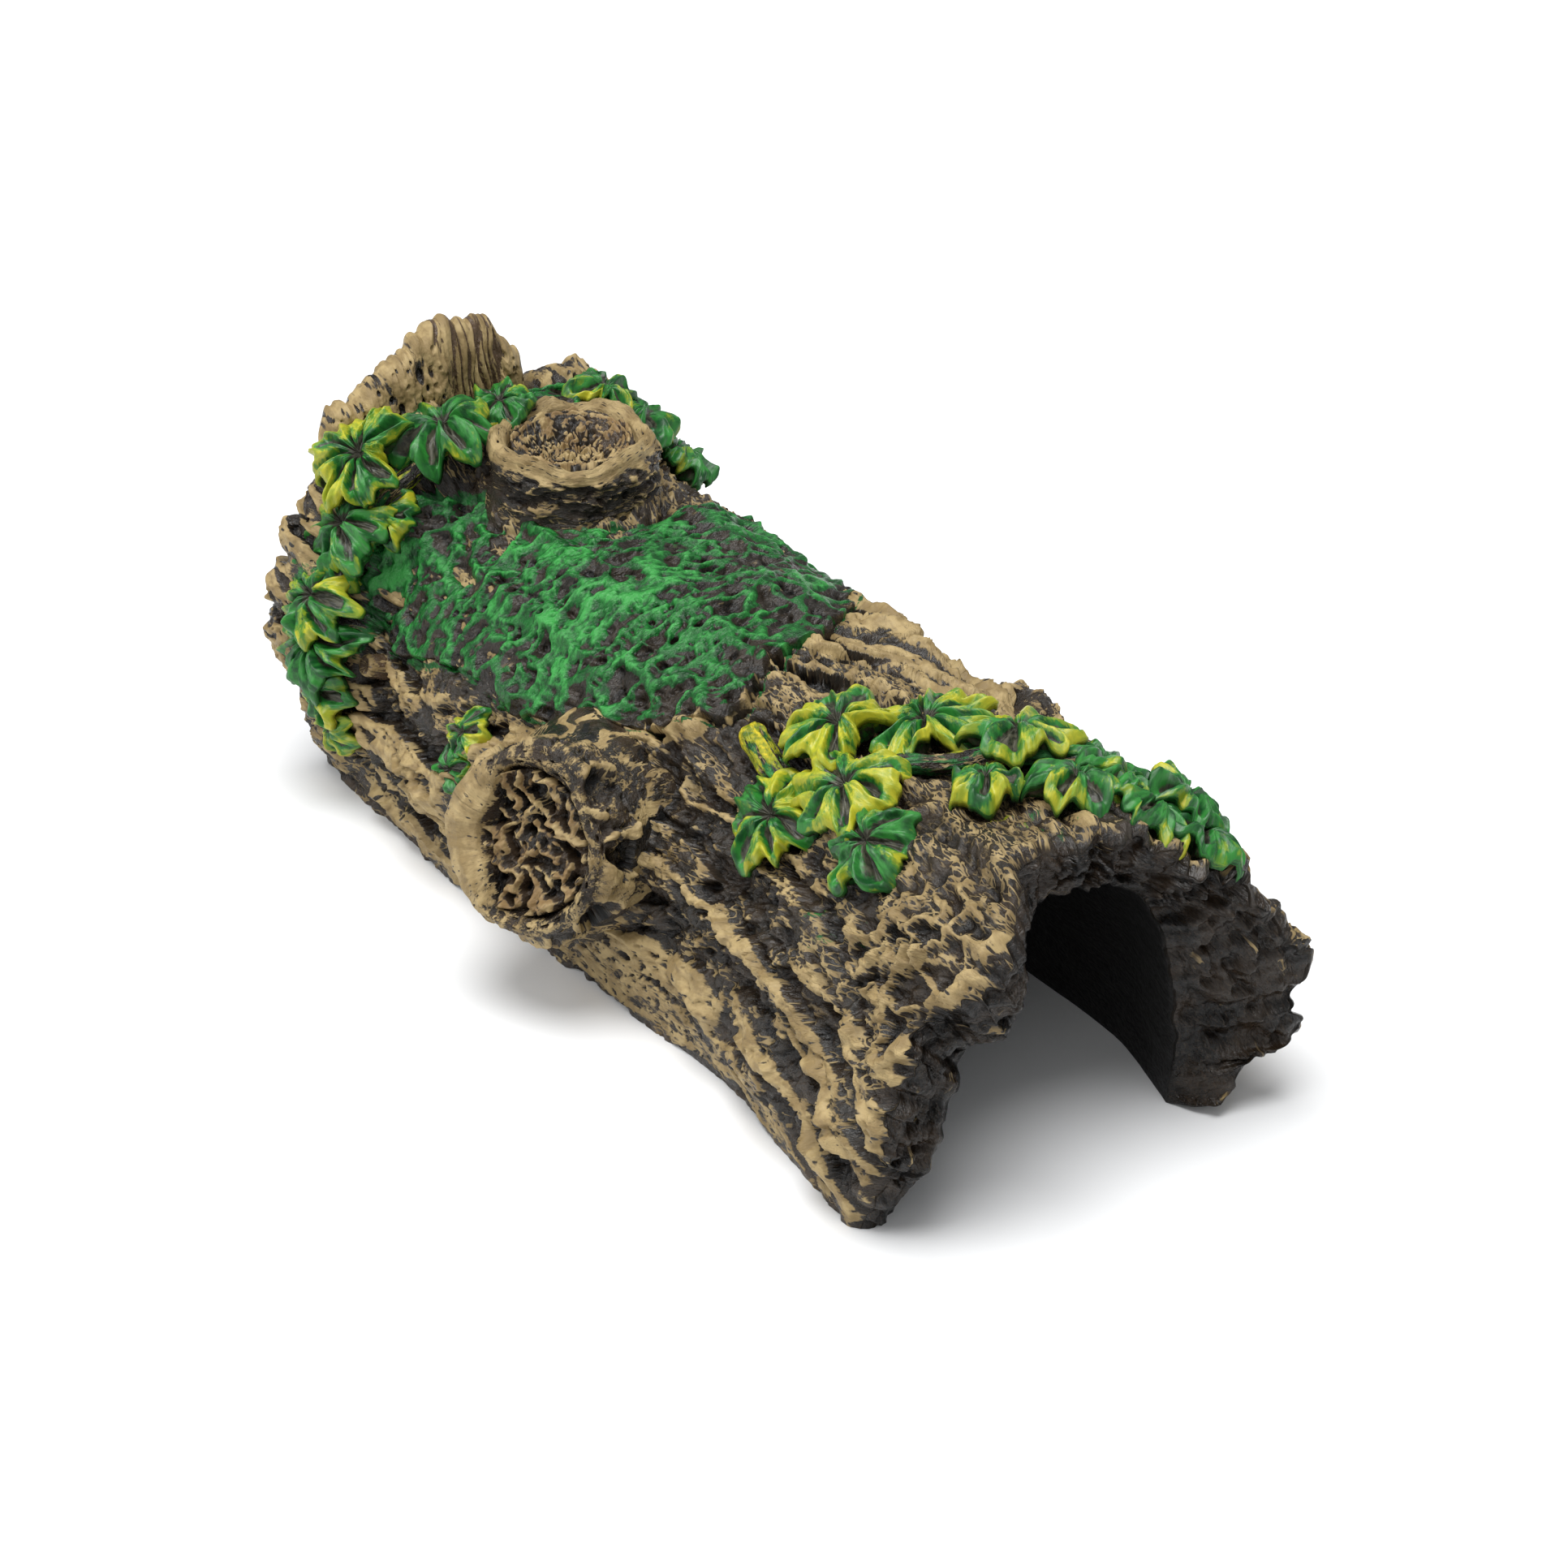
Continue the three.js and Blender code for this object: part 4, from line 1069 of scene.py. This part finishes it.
def make_tall_splinter():
    across, up = ((190, 150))
    y = np.linspace(-37.2, 1.0, across)[:, None]
    tops = np.array(TALL_TOP, float)
    crest = (
        np.interp(y, tops[:, 0], tops[:, 1]) + perlin(y / 2.2, 0.5, seed=300)
        + 0.5 * perlin(y / 0.9, 0.5, seed=301)
    )
    v = np.linspace(0, 1, up)[None]
    z = lerp(46.0, crest, v)
    y = np.broadcast_to(y, z.shape)
    w = 0.9 * perlin(y / 4, z / 9, seed=302)
    strand = (
        slits(perlin((y + w) / 1.5, z / 16, seed=303), 0.45)
        + 0.5 * slits(perlin((y + w) / 0.7, z / 9, seed=304), 0.5)
    )
    specks = np.maximum(pits(y + w, 0.5 * z, 2.3, 0.6, 305), pits(y, 0.6 * z, 1.2, 0.5, 308))
    ragged = y + 1.5 * perlin(z / 5, y / 5, seed=306)
    middle = smoothstep(-17.2, -15.8, ragged) * smoothstep(-4.0, -6.0, ragged)
    plate = fbm(y / 5, z / 6, octaves=4, seed=307)
    h = lerp(0.9 * plate - specks + 0.3 * (strand - 0.8), 0.85 * (strand - 0.9) - 0.9, middle)
    thin = np.sqrt(np.clip(1 - np.abs((y + 18.1) / 19.1) ** 6, 0, 1)) * np.sqrt(np.clip(1 - v**12, 0, 1))
    centre = -81.2 - 0.12 * (z - 46) - 0.011 * (y + 18) ** 2
    front = np.stack([centre + (3.9 + h) * thin, y, z], -1)
    back = np.stack([centre - (3.6 + 0.6 * plate + 0.5 * (strand - 0.8)) * thin, y, z], -1)
    values = {
        "high": (
            brush(np.clip(0.9 - 0.16 * middle + 0.1 * perlin(y / 7, z / 7, seed=309), 0.05, 0.96), h)
            + 0.04 * middle
        ),
        "green": -0.1 + 0.45 * smoothstep(60, 53, z - 0.2 * np.abs(y + 12)),
        # painted shade: pits and grooves of the splinter darkened through deep
        "deep": hollowness(h, 6, 6),
        "brown": 0.25 + 0.7 * middle,
        "web": 0.25,
    }
    closed_grid(front, back, "splinter_tall", "rear_splinter_tall", values, flat(z, y))


SPLINTERS = [
    ("splinter_upper", "rear_splinter_upper", -73, -87, (130, 144), 3.2, 320),
    ("splinter_lower", "rear_splinter_lower", -74, -86, (146, 160), 2.2, 330),
    ("splinter_right", "rear_splinter_right", -74, -88, (64, 83), 4.0, 340),
]


def make_splinter(name, node, start, end, span, height, seed):
    t, w = np.meshgrid(np.linspace(0, 1, 90), np.linspace(0, 1, 90), indexing="ij")
    angle = lerp(span[0], span[1], w)
    x = (
        lerp(start, end, t)
        - 2.2 * t * (perlin(angle / 4, 0.5, seed=seed) + 0.5 * perlin(angle / 1.5, 0.5, seed=seed + 9))
    )
    base, normal, _, _ = skin(x, angle)
    s = arc_of(angle)
    h = bark(x, 1.3 * s, seed + 1, 0.9, 0.3)
    crest = np.sqrt(np.maximum(np.sin(np.pi * w), 0))
    rise = height * crest * np.sin(np.pi / 2 * np.minimum(t * 1.25, 1))
    edge = np.sqrt(np.clip(1 - t**10, 0, 1))
    top = base + normal * (((rise + h * crest + 4) * edge) - 4)[..., None]
    # painted shade: pits and grooves of the splinter darkened through deep
    values = {"high": brush(0.6, h), "deep": hollowness(h, 6, 6), "web": 0.3, "green": -0.2}
    closed_grid(top, base - normal * 4, name, node, values, flat(x, s))


# ---- Limb rings and their cut faces --------------------------------------------------------------


def revolve(name, node, look, slot, radii, heights, values, grain, axes):
    """A piece from rings of points round a limb's axis; the first and last rings close on the axis."""
    at, ex, ey, ez = axes
    rows, spokes = radii.shape
    turn = full_turn(spokes)
    p = (
        at + (radii * np.sin(turn))[..., None] * ex + heights[..., None] * ey
        + (radii * np.cos(turn))[..., None] * ez
    )
    points = with_hubs(p)
    caps = end_caps(spokes, rows * spokes)
    values = {
        key: np.concatenate([np.broadcast_to(v, radii.shape).ravel(), [0.3, 0.3]])
        for key, v in values.items()
    }
    grain = np.concatenate([grain, grain[:1], grain[-1:]])
    return build(name, points, [grid_quads(rows, spokes, 0, True), caps], look, values, grain, [node])


def limb_ring(key, flare, root, seed, knot, wide_side):
    """The bark round a limb: from its buried root, up the outside, over the lip and down into the hollow."""
    at, axis, radius, lip, sunk, squash = LIMBS[key]
    spokes = 360
    turn = full_turn(spokes)
    inner = radius - lip
    outline = [
        (0.5, -root), (radius + flare, -root), (radius + flare * 0.35, -root * 0.5), (radius + 0.2, -2.6),
        (radius - 0.4, -0.6),
        (radius - lip * 0.45, 0.2), (inner + lip * 0.15, -0.8), (inner - 0.6, -sunk - 0.5),
        (inner - 1.2, -sunk - 4), (0.5, -sunk - 5),
    ]
    counts = [2, 36, 70, 20, 14, 16, 20, 10, 2]
    path = [
        lerp(np.array(a), np.array(b), w)
        for a, b, count in zip(outline, outline[1:], counts)
        for w in np.linspace(0, 1, count, endpoint=False)
    ]
    r0, y0 = (np.array(path)[:, i][:, None] for i in (0, 1))
    tx, tz = np.sin(turn), np.cos(turn)
    live = ((r0 > 1) & (y0 > -root + 1) & (y0 > -sunk - 5)) * 1.0
    wob = 1 + 0.06 * perlin(tx * 1.6, tz * 1.6, y0 / 7, seed=seed)
    run = np.arange(len(path))[:, None] * 0.28
    arcs = turn * radius
    seam = smoothstep(0, 0.25, turn) * smoothstep(2 * np.pi, 2 * np.pi - 0.25, turn)
    if knot:
        bent = -1.25 * y0 + 1.5 * perlin(tx * 1.5, tz * 1.5, y0 / 5, seed=seed + 1)
        h, cover = bark(arcs + 0 * y0, bent, seed + 2, 0.6, 0.5) * seam, 0.16
    else:
        bent = 0.62 * arcs + 1.2 * perlin(tx * 2, tz * 2, y0 / 5, seed=seed + 3)
        h, cover = bark(-0.8 * y0, bent, seed + 4, 1.5, 0.15) * seam, 0.3
    lipness = smoothstep(-3.4 if knot else -2.6, -1.2 if knot else -0.8, y0) * (r0 > inner - 0.2)
    side = smoothstep(0.3, 0.9, np.cos(turn - wide_side)) if wide_side is not None else 0.0 * turn
    rim = (
        0.8 * fbm(tx * 3, tz * 3, r0 / 3, seed=seed + 5)
        + (0.12 if knot else 0.4) * fbm(tx * 9, tz * 9, r0 / 1.5, octaves=2, seed=seed + 6)
    )
    nick = pits(arcs, run, 3.2, 0.15 if knot else 0.4, seed + 8) * (1 - side)
    h = lerp(h, (rim - 0.7 * nick) * (1 - 0.6 * side), lipness)
    outer = smoothstep(inner, inner + lip * 0.5, r0)
    inward = 3.6 * side * smoothstep(radius - 0.3, inner + 0.6, r0) * (y0 > -sunk - 0.6)
    radii = np.maximum(r0 * wob + h * outer * live * (1 - 0.7 * lipness) - inward, 0.3)
    sway = 1.1 * perlin(tx * 1.4, tz * 1.4, seed=seed + 7)
    heights = y0 + (0.9 * h + sway + 0.8 * side) * lipness * live
    bowl = smoothstep(-1.0, -sunk, y0) * (r0 < inner + 0.5)
    cover = np.clip(cover + (0.8 if knot else 0.25) * lipness + 0.3 * side * lipness - 0.4 * bowl, 0.05, 0.95)
    values = {
        "high": brush(cover + 0 * h, h, 4, 5, True),
        # painted shade: the hollow inside the ring (bowl) is darkened through deep, as are pits and grooves
        "deep": np.maximum(hollowness(h, 7, 7, True), 0.8 * bowl),
        "web": 0.35 * (1 - side * lipness),
        "brown": 0.3,
        "green": np.where(knot & (y0 < -7), 0.2, -1.0) + 0.25 * perlin(tx * 3, tz * 3, y0 / 3, seed=seed + 9),
    }
    grain = flat(arcs, run) if knot else flat(run, arcs)
    return radii, heights, values, grain, limb_axes(at, axis, squash)


def limb_core(key, root, seed, knot):
    """The cut face inside a limb's ring."""
    at, axis, radius, lip, sunk, squash = LIMBS[key]
    spokes = 280
    turn = full_turn(spokes)
    inner = radius - lip - 0.35
    r = inner * (1 - np.linspace(0, 1, 80)[:, None]) + 0.05
    tx, tz = r * np.sin(turn), r * np.cos(turn)
    if knot:
        wall = smoothstep(0.5, 0.98, r / inner + 0.06 * perlin(tx / 3, tz / 3, seed=seed + 9))
        wx, wz = 0.8 * perlin(tx / 1.6, tz / 1.6, seed=seed), 0.8 * perlin(tx / 1.6, tz / 1.6, seed=seed + 8)
        worm = slits(perlin((tx + wx) / 1.15, (tz + wz) / 1.15, seed=seed + 1), 0.5)
        rings = (
            slits(perlin(turn * 2.2 + 0 * r, r / 0.8, seed=seed + 2), 0.5) * smoothstep(0, 0.25, turn)
            * smoothstep(6.28, 6.0, turn)  # 6.28 is the full turn
        )
        h = lerp(
            1.1 * worm + 0.8 * fbm(tx / 2, tz / 2, seed=seed + 3) - 0.5,
            0.7 * rings + 0.6 * fbm(tx / 2.5, tz / 2.5, seed=seed + 4), wall
        )
        h = h + 3.0 * wall - 1.2
        cover = 0.52 - 0.12 * wall
    else:
        comb = honeycomb(tx, tz, 6.5, seed + 3, 0.5, 3.2)
        holes = pits(tx, tz, 2.6, 0.4, seed + 6)
        h = 2.4 * comb - 1.6 - 0.9 * holes + 1.1 * fbm(tx / 3, tz / 3, seed=seed + 5)
        h = h + 1.2 * smoothstep(0.6, 1.0, r / inner)
        cover = 0.42 + 0 * h
    rows = [(0.3, -root), (inner, -root), (inner, -sunk - 2.5)]
    radii = np.concatenate([np.full((1, spokes), a) for a, _ in rows] + [np.broadcast_to(r, h.shape)])
    heights = np.concatenate([np.full((1, spokes), b) for _, b in rows] + [h - sunk + 0.3])
    high = np.concatenate([np.full((3, spokes), 0.1), brush(np.clip(cover, 0.05, 0.95), h, 4, 6, True)])
    # painted shade: black on the core's sunk sides and in the cut face's pits and grooves
    deep = np.concatenate([np.full((3, spokes), 1.0), hollowness(h, 6, 8, True)])
    values = {"high": high, "deep": deep, "web": 0.3, "brown": 0.45}
    face = flat(np.sin(turn) * radii, np.cos(turn) * radii)
    return radii, heights, values, face, limb_axes(at, axis, squash)


def make_limbs():
    for key, flare, root, seed, knot, side in (
        ("top_knot", 2.5, 17, 400, True, None), ("left_limb", 5, 23, 430, False, 0.4),
        ("right_limb", 5, 19, 460, False, None),
    ):
        ring, core = limb_ring(key, flare, root, seed, knot, side), limb_core(key, root, seed + 15, knot)
        revolve(key + "_rim", key + "_ring", bark_look, "bark", *ring)
        revolve(key + "_face", key + "_core", wood_look, "cut_wood", *core)


# ---- Vines, twigs and leaves ---------------------------------------------------------------------

# radius, width to height, how green and how yellow, then the path of x and angle
STEMS = {
    "vine_front": (1.6, 1.0, 0.42, 0.3, [(30, 128), (40, 112), (47, 96), (55, 78), (72, 42)]),
    "vine_rear": (1.6, 1.0, 0.45, 0.42, [(-73, 90), (-72, 108), (-71, 128), (-70, 168)]),
    "twig_front": (1.7, 1.25, 0.5, 0.5, [(18, 113), (26, 117), (35, 121)]),
    "vine_right": (1.5, 1.0, 0.5, 0.2, [(-76, 76), (-74, 64), (-72, 50)]),
}


def make_stem(name, radius, wide, green, yellow, through, seed):
    rows, spokes = 150, 32
    t = np.linspace(0, 1, rows)
    way = np.array(through, float)
    knots = np.linspace(0, 1, len(through))
    x, angle = (curve(list(zip(knots, way[:, i])))(t) for i in (0, 1))
    base, normal, _, _ = skin(x, angle)
    centre = base + normal * radius * 0.6
    tangent = unit(np.gradient(centre, axis=0))
    side = unit(np.cross(normal, tangent))
    lift = np.cross(tangent, side)
    turn = full_turn(spokes)
    run = np.concatenate([[0], np.cumsum(np.linalg.norm(np.diff(centre, axis=0), axis=1))])[:, None]
    ends = np.sqrt(np.clip(1 - np.abs(2 * t - 1) ** 14, 0.0, 1))[:, None]
    grooves = slits(perlin(np.cos(turn) * 2.6, np.sin(turn) * 2.6, run / 8, seed=seed), 0.5)
    r = radius * ends * (
        0.85 + 0.22 * grooves + 0.12 * perlin(np.cos(turn) * 2, np.sin(turn) * 2, run / 2, seed=seed + 1)
    )
    p = (
        centre[:, None] + (wide * r * np.cos(turn))[..., None] * side[:, None]
        + (r * np.sin(turn))[..., None] * lift[:, None]
    )
    points = with_hubs(p)
    caps = end_caps(spokes, rows * spokes)
    streak = 0.35 * (grooves - 0.5)
    drift = 0.3 * perlin(run / 6, np.cos(turn), seed=seed + 2)
    root_end = (0.3 - 0.6 * t[:, None]) * (name == "twig_front")
    values = {
        "high": 0.45 + streak, "green": green + streak + drift,
        # painted shade: the stem's grooves are darkened through deep
        "yellow": yellow + streak - drift + root_end, "deep": 0.4 * (1 - grooves),
    }
    values = {key: np.concatenate([(v * np.ones_like(r)).ravel(), [0, 0]]) for key, v in values.items()}
    grain = np.concatenate([flat(run, turn * radius), np.zeros((2, 3))])
    build(
        name + "_stem", points, [grid_quads(rows, spokes, 0, True), caps], bark_look, values, grain, [name],
    )


def make_peg():
    base, normal, along, _ = (v[0] for v in skin(np.array([-62.0]), np.array([153.0])))
    rows = [
        (0.1, -2.4), (2.1, -2.4), (2.1, -1), (2.0, 0.5), (1.9, 1.6), (1.85, 2.3), (1.65, 2.75), (1.3, 2.8),
        (0.95, 2.55), (0.6, 2.3), (0.1, 2.3),
    ]
    turn = full_turn(48)
    r = np.array([a for a, _ in rows])[:, None] * (
        1 + 0.07 * perlin(np.sin(turn) * 2, np.cos(turn) * 2, seed=500)
    )
    y = np.array([b for _, b in rows])[:, None] + 0.12 * perlin(np.sin(turn) * 3, np.cos(turn) * 3, seed=501)
    high = np.array([0.2, 0.2, 0.3, 0.4, 0.45, 0.55, 0.6, 0.45, 0.2, 0.1, 0.1])[:, None] + 0 * turn
    values = {"high": high, "deep": 0.3, "brown": 0.8}
    axes = (base + normal * 0.4, np.cross(normal, along), normal, along)
    revolve("twig_peg_end", "twig_peg", bark_look, "bark", r, y, values, flat(y, turn * 2), axes)


# name: x, angle, size, lobes, heading, tilt, lift, curl, then how yellow it is painted. The places are the
# CAD's, except that front_01 and rear_01 are smaller and a little moved, and front_03, front_06 and front_08
# lie lower.
LEAVES = {
    "leaf_front_01": (36, 127, 18, 5, 120, 8, 4, 0.1, 0.95),
    "leaf_front_02": (32, 102, 20, 5, 170, 4, 5, 0.1, 1.15),
    "leaf_front_03": (38, 89, 22, 7, -60, 10, 4.0, 0.08, 0.85),
    "leaf_front_04": (46, 113, 20, 5, 60, 2, 4, 0.14, 1.1),
    "leaf_front_05": (58, 120, 17, 5, 60, -4, 3, 0.12, 0.5),
    "leaf_front_06": (50, 78, 19, 5, -30, 14, 4.2, 0.12, 0.9),
    "leaf_front_07": (61, 92, 13, 4, 30, 6, 4.5, 0.12, 0.72),
    "leaf_front_08": (58, 61, 19, 5, -30, 8, 4.4, 0.06, 0.5),
    "leaf_front_09": (66, 64, 14, 4, -20, 6, 5, 0.14, 0.45),
    "leaf_front_10": (67, 77, 16, 5, 20, 4, 4, 0.14, 0.5),
    "leaf_front_11": (72, 59, 17, 5, 10, -2, 4, 0.12, 0.42),
    "leaf_front_12": (69, 50, 17, 5, -60, 8, 8, 0.1, 0.45),
    "leaf_front_13": (76, 47, 15, 4, -40, 6, 6, 0.12, 0.4),
    "leaf_rear_01": (-76, 121, 19, 7, 140, 6, 6.0, 0.08, 0.95),
    "leaf_rear_02": (-73, 107, 19, 5, 30, 12, 5, 0.16, 0.42),
    "leaf_rear_03": (-69, 127, 11, 4, 20, 0, 3, 0.1, 0.7),
    "leaf_rear_04": (-73, 133, 19, 5, 60, 10, 4.5, 0.18, 0.55),
    "leaf_rear_05": (-72, 139, 14, 4, 90, 0, 3, 0.12, 0.55),
    "leaf_rear_06": (-72, 146, 17, 5, 60, 10, 3.5, 0.16, 1.0),
    "leaf_rear_07": (-71, 153, 21, 7, 120, 4, 3, 0.1, 0.35),
    "leaf_rear_08": (-69, 161, 14, 4, 60, 2, 3.5, 0.12, 0.7),
    "leaf_rear_09": (-69, 168, 12, 4, 90, -6, 3.5, 0.1, 0.95),
    "leaf_rear_10": (-75, 95, 13, 4, -60, 4, 3.5, 0.1, 0.4),
    "leaf_right_01": (-73, 52, 18, 7, -60, 4, 5, 0.1, 0.5),
    "leaf_right_02": (-74, 64, 15, 4, -120, 2, 4.5, 0.1, 0.6),
    "leaf_right_03": (-76, 74, 13, 4, -150, 4, 4, 0.1, 0.55),
    "leaf_middle_01": (-32, 150, 10, 4, 40, 10, 2.5, 0.1, 0.85),
    "leaf_middle_02": (-33, 158, 9, 4, 100, 4, 2, 0.1, 0.35),
}


# How much of a leaf's outline carries lobes, and where its plain back fades in
LEAF_LOBED, LEAF_BACK = math.radians(316), (math.radians(152), math.radians(166))


def make_leaf(name, x, angle, size, lobes, heading, tilt, lift, curl, gilt, seed):
    """A moulded leaf: each lobe is a channel between rounded folds, with a rolled edge."""
    at, normal, along, around = (v[0] for v in skin(np.array([float(x)]), np.array([float(angle)])))
    a, b = math.radians(heading), math.radians(tilt)
    forward = unit(along * math.cos(a) + around * math.sin(a))
    side = np.cross(normal, forward)
    lifted = forward * math.cos(b) + normal * math.sin(b)
    up = normal * math.cos(b) - forward * math.sin(b)
    at = at + normal * lift
    spokes, rings = ((lobes * 48, 40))
    turn = np.linspace(-np.pi, np.pi, spokes, endpoint=False)[None]
    out = np.linspace(0.02, 1, rings)[:, None]
    cx, cy = np.cos(turn), np.sin(turn)
    radius = size / 2
    ribs = lobes + 1
    spread = LEAF_LOBED / ribs
    bend = (
        0.8 * perlin(cx * 1.2, cy * 1.2, out * 1.5, seed=seed)
        + 0.4 * perlin(cx * 3, cy * 3, out * 2, seed=seed + 1)
    )
    lobe_turn = 2 * np.pi * (turn + 0.34 * bend) / spread + (0 if ribs % 2 else np.pi)
    back = smoothstep(*LEAF_BACK, np.abs(turn))
    fold = lerp((1 - np.cos(lobe_turn)) / 2, 1.0, back)
    side_way = np.arccos(np.clip(1 - 2 * fold, -1, 1)) / np.pi
    longer = (
        1 + 0.17 * perlin(cx * 1.5, cy * 1.5, seed=seed + 4)
        + 0.12 * perlin(turn * ribs * 0.6, 0.5, seed=seed + 3)
    )
    notch = (
        (0.25 + 0.12 * perlin(cx * 2, cy * 2, seed=seed + 2)) * side_way[-1:]
        - 0.06 * np.abs(np.sin(1.5 * lobe_turn[-1:]))
    )
    edge = radius * 0.98 * (longer - notch) * (1 - 0.35 * back)
    width = 0.5 + 0.3 * np.sin(np.pi * out) ** 2 + 0.2 * perlin(cx * 3, cy * 3, out * 3, seed=seed + 10)
    ridge = smoothstep(0.04, width, fold)
    roll = smoothstep(0.74, 0.9, out + 0.12 * bend) * (0.35 + 0.65 * side_way)
    crest = 1 - (1 - ridge) * (1 - roll)
    grow = smoothstep(0.0, 0.45, out)
    high = crest * grow
    thick = 1.1
    rib = 0.115 * size * (high - 0.5 * grow)
    veins = (
        0.12 * np.cos(5 * lobe_turn) * (1 - ridge) * grow
        + 0.25 * perlin(turn * lobes * 1.6, out * 3.0, seed=seed + 5)
    )
    ruffle = (
        (
            0.11 * perlin(cx * 2.0, cy * 2.0, seed=seed + 6)
            + 0.09 * perlin(turn * ribs * 0.55, 2.5, seed=seed + 11)
        )
        * size * out**2
    )
    droop = 0.8 * fbm(cx * out * 1.3, cy * out * 1.3, octaves=2, seed=seed + 7) * out
    tuck = smoothstep(0.88, 1.0, out) ** 2
    z = (
        rib + veins + ruffle + droop - curl * size * out**2.5 - 0.05 * size * np.exp(-((out / 0.2) ** 2))
        - tuck
    )
    px, py = edge * out * cx, edge * out * cy
    top = np.stack([px, py, z], -1)
    shrink = 1 - 0.05 * out
    bottom = np.stack([px * shrink, py * shrink, z - thick - 5.5 * (1 - out) ** 1.5], -1)
    local = np.concatenate([top, bottom[::-1]])
    p = at + local[..., :1] * lifted + local[..., 1:2] * side + local[..., 2:] * up
    rows = 2 * rings
    points = with_hubs(p)
    caps = end_caps(spokes, rows * spokes, flip=True)
    tone = (
        0.85 * high + 0.24 * smoothstep(0.3, 0.95, out)
        + 0.14 * perlin(cx * 2, cy * 2, out * 2, seed=seed + 8)
    )
    sunny = (
        0.7 * perlin(cx * 0.9, cy * 0.9, seed=seed + 9)
        + 0.45 * perlin(cx * 3, cy * 3, out * 3, seed=seed + 12) - 0.04
    )
    yellow = (
        (0.92 * gilt + sunny) * (0.08 + 0.5 * crest + 0.35 * out**2) * grow
        + 0.1 * smoothstep(0.9, 0.98, out) - 0.1
    )
    values = {
        "high": np.concatenate([tone.ravel(), np.full(tone.size, 0.3), [0, 0]]),
        "yellow": np.concatenate([yellow.ravel(), (yellow[::-1] - 0.3).ravel(), [-1, -1]]),
    }
    grain = np.concatenate(
        [
            flat(out * radius, turn * radius * 0.5, seed),
            flat(out * radius, turn * radius * 0.5, seed + 5.0), np.zeros((2, 3))
        ]
    )
    build(
        name + "_painted", points, [grid_quads(rows, spokes, 0, True), caps], leaf_look, values, grain,
        [name]
    )


# ---- Everything ----------------------------------------------------------------------------------

RINGS, SPOKES = ((190, 620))
make_shell()
make_mat("moss_crust", "moss_mat", MAT_CENTRE, MAT_OUTLINE, MAT_RISE, RINGS, SPOKES, 130, 1.0)
make_mat(
    "moss_crust_rear", "moss_patch_rear", PATCH_CENTRE, PATCH_OUTLINE, lambda x: 1.8 + 0 * x, 30, 140, 150,
    0.0
)
make_tall_splinter()
for row in SPLINTERS:
    make_splinter(*row)
make_limbs()
for number, (name, row) in enumerate(STEMS.items()):
    make_stem(name, *row, 520 + 10 * number)
make_peg()
for number, (name, row) in enumerate(LEAVES.items()):
    make_leaf(name, *row, 600 + 10 * number)

# ---- Floor, light and camera ---------------------------------------------------------------------


def stage():
    mesh = bpy.data.meshes.new("floor")
    mesh.from_pydata([(-6, -6, 0), (6, -6, 0), (6, 6, 0), (-6, 6, 0)], [], [(0, 1, 2, 3)])
    floor = bpy.data.objects.new("floor", mesh)
    n = Nodes("floor_white")
    colour = n.mix(n.blotch(300), (0.84, 0.845, 0.85, 1), (0.86, 0.865, 0.87, 1))
    mesh.materials.append(
        n.finish(colour, n.step(n.blotch(90), 0.3, 0.7, 0.66, 0.74), n.blotch(5), 0.02, 0.0001)
    )
    bpy.context.scene.collection.objects.link(floor)
    world = bpy.data.worlds.new("studio")
    world.use_nodes = True
    world.node_tree.nodes["Background"].inputs["Color"].default_value = (0.97, 0.985, 1.0, 1)
    world.node_tree.nodes["Background"].inputs["Strength"].default_value = 0.36
    bpy.context.scene.world = world


def area_light(name, place, aim, size, power):
    data = bpy.data.lights.new(name, "AREA")
    data.shape, data.size, data.energy = "DISK", size, power
    light = bpy.data.objects.new(name, data)
    light.location = place
    light.rotation_euler = (Vector(aim) - Vector(place)).to_track_quat("-Z", "Y").to_euler()
    bpy.context.scene.collection.objects.link(light)


def make_camera():
    azimuth, elevation, distance = math.radians(59), math.radians(30), 0.740
    target = Vector(tuple((np.array([0, 0, 24.0]) + OFFSET) / 1000))
    level = math.cos(elevation)
    back = Vector((math.sin(azimuth) * level, -math.cos(azimuth) * level, math.sin(elevation)))
    data = bpy.data.cameras.new("camera")
    data.lens, data.sensor_width = 107.67, 36.0
    data.clip_start, data.clip_end = 0.01, 50
    camera = bpy.data.objects.new("camera", data)
    camera.location = target + back * distance
    camera.rotation_euler = (-back).to_track_quat("-Z", "Y").to_euler()
    bpy.context.scene.collection.objects.link(camera)
    bpy.context.scene.camera = camera


stage()
area_light("top", (0.06, -0.12, 1.35), (0, 0, 0), 1.1, 23)
area_light("left", (-0.35, -1.15, 0.85), (0, 0, 0.02), 1.0, 8)
area_light("front", (0.9, -0.5, 0.9), (0, 0, 0.02), 0.7, 1.5)
make_camera()
bpy.context.scene.view_settings.view_transform = "Standard"
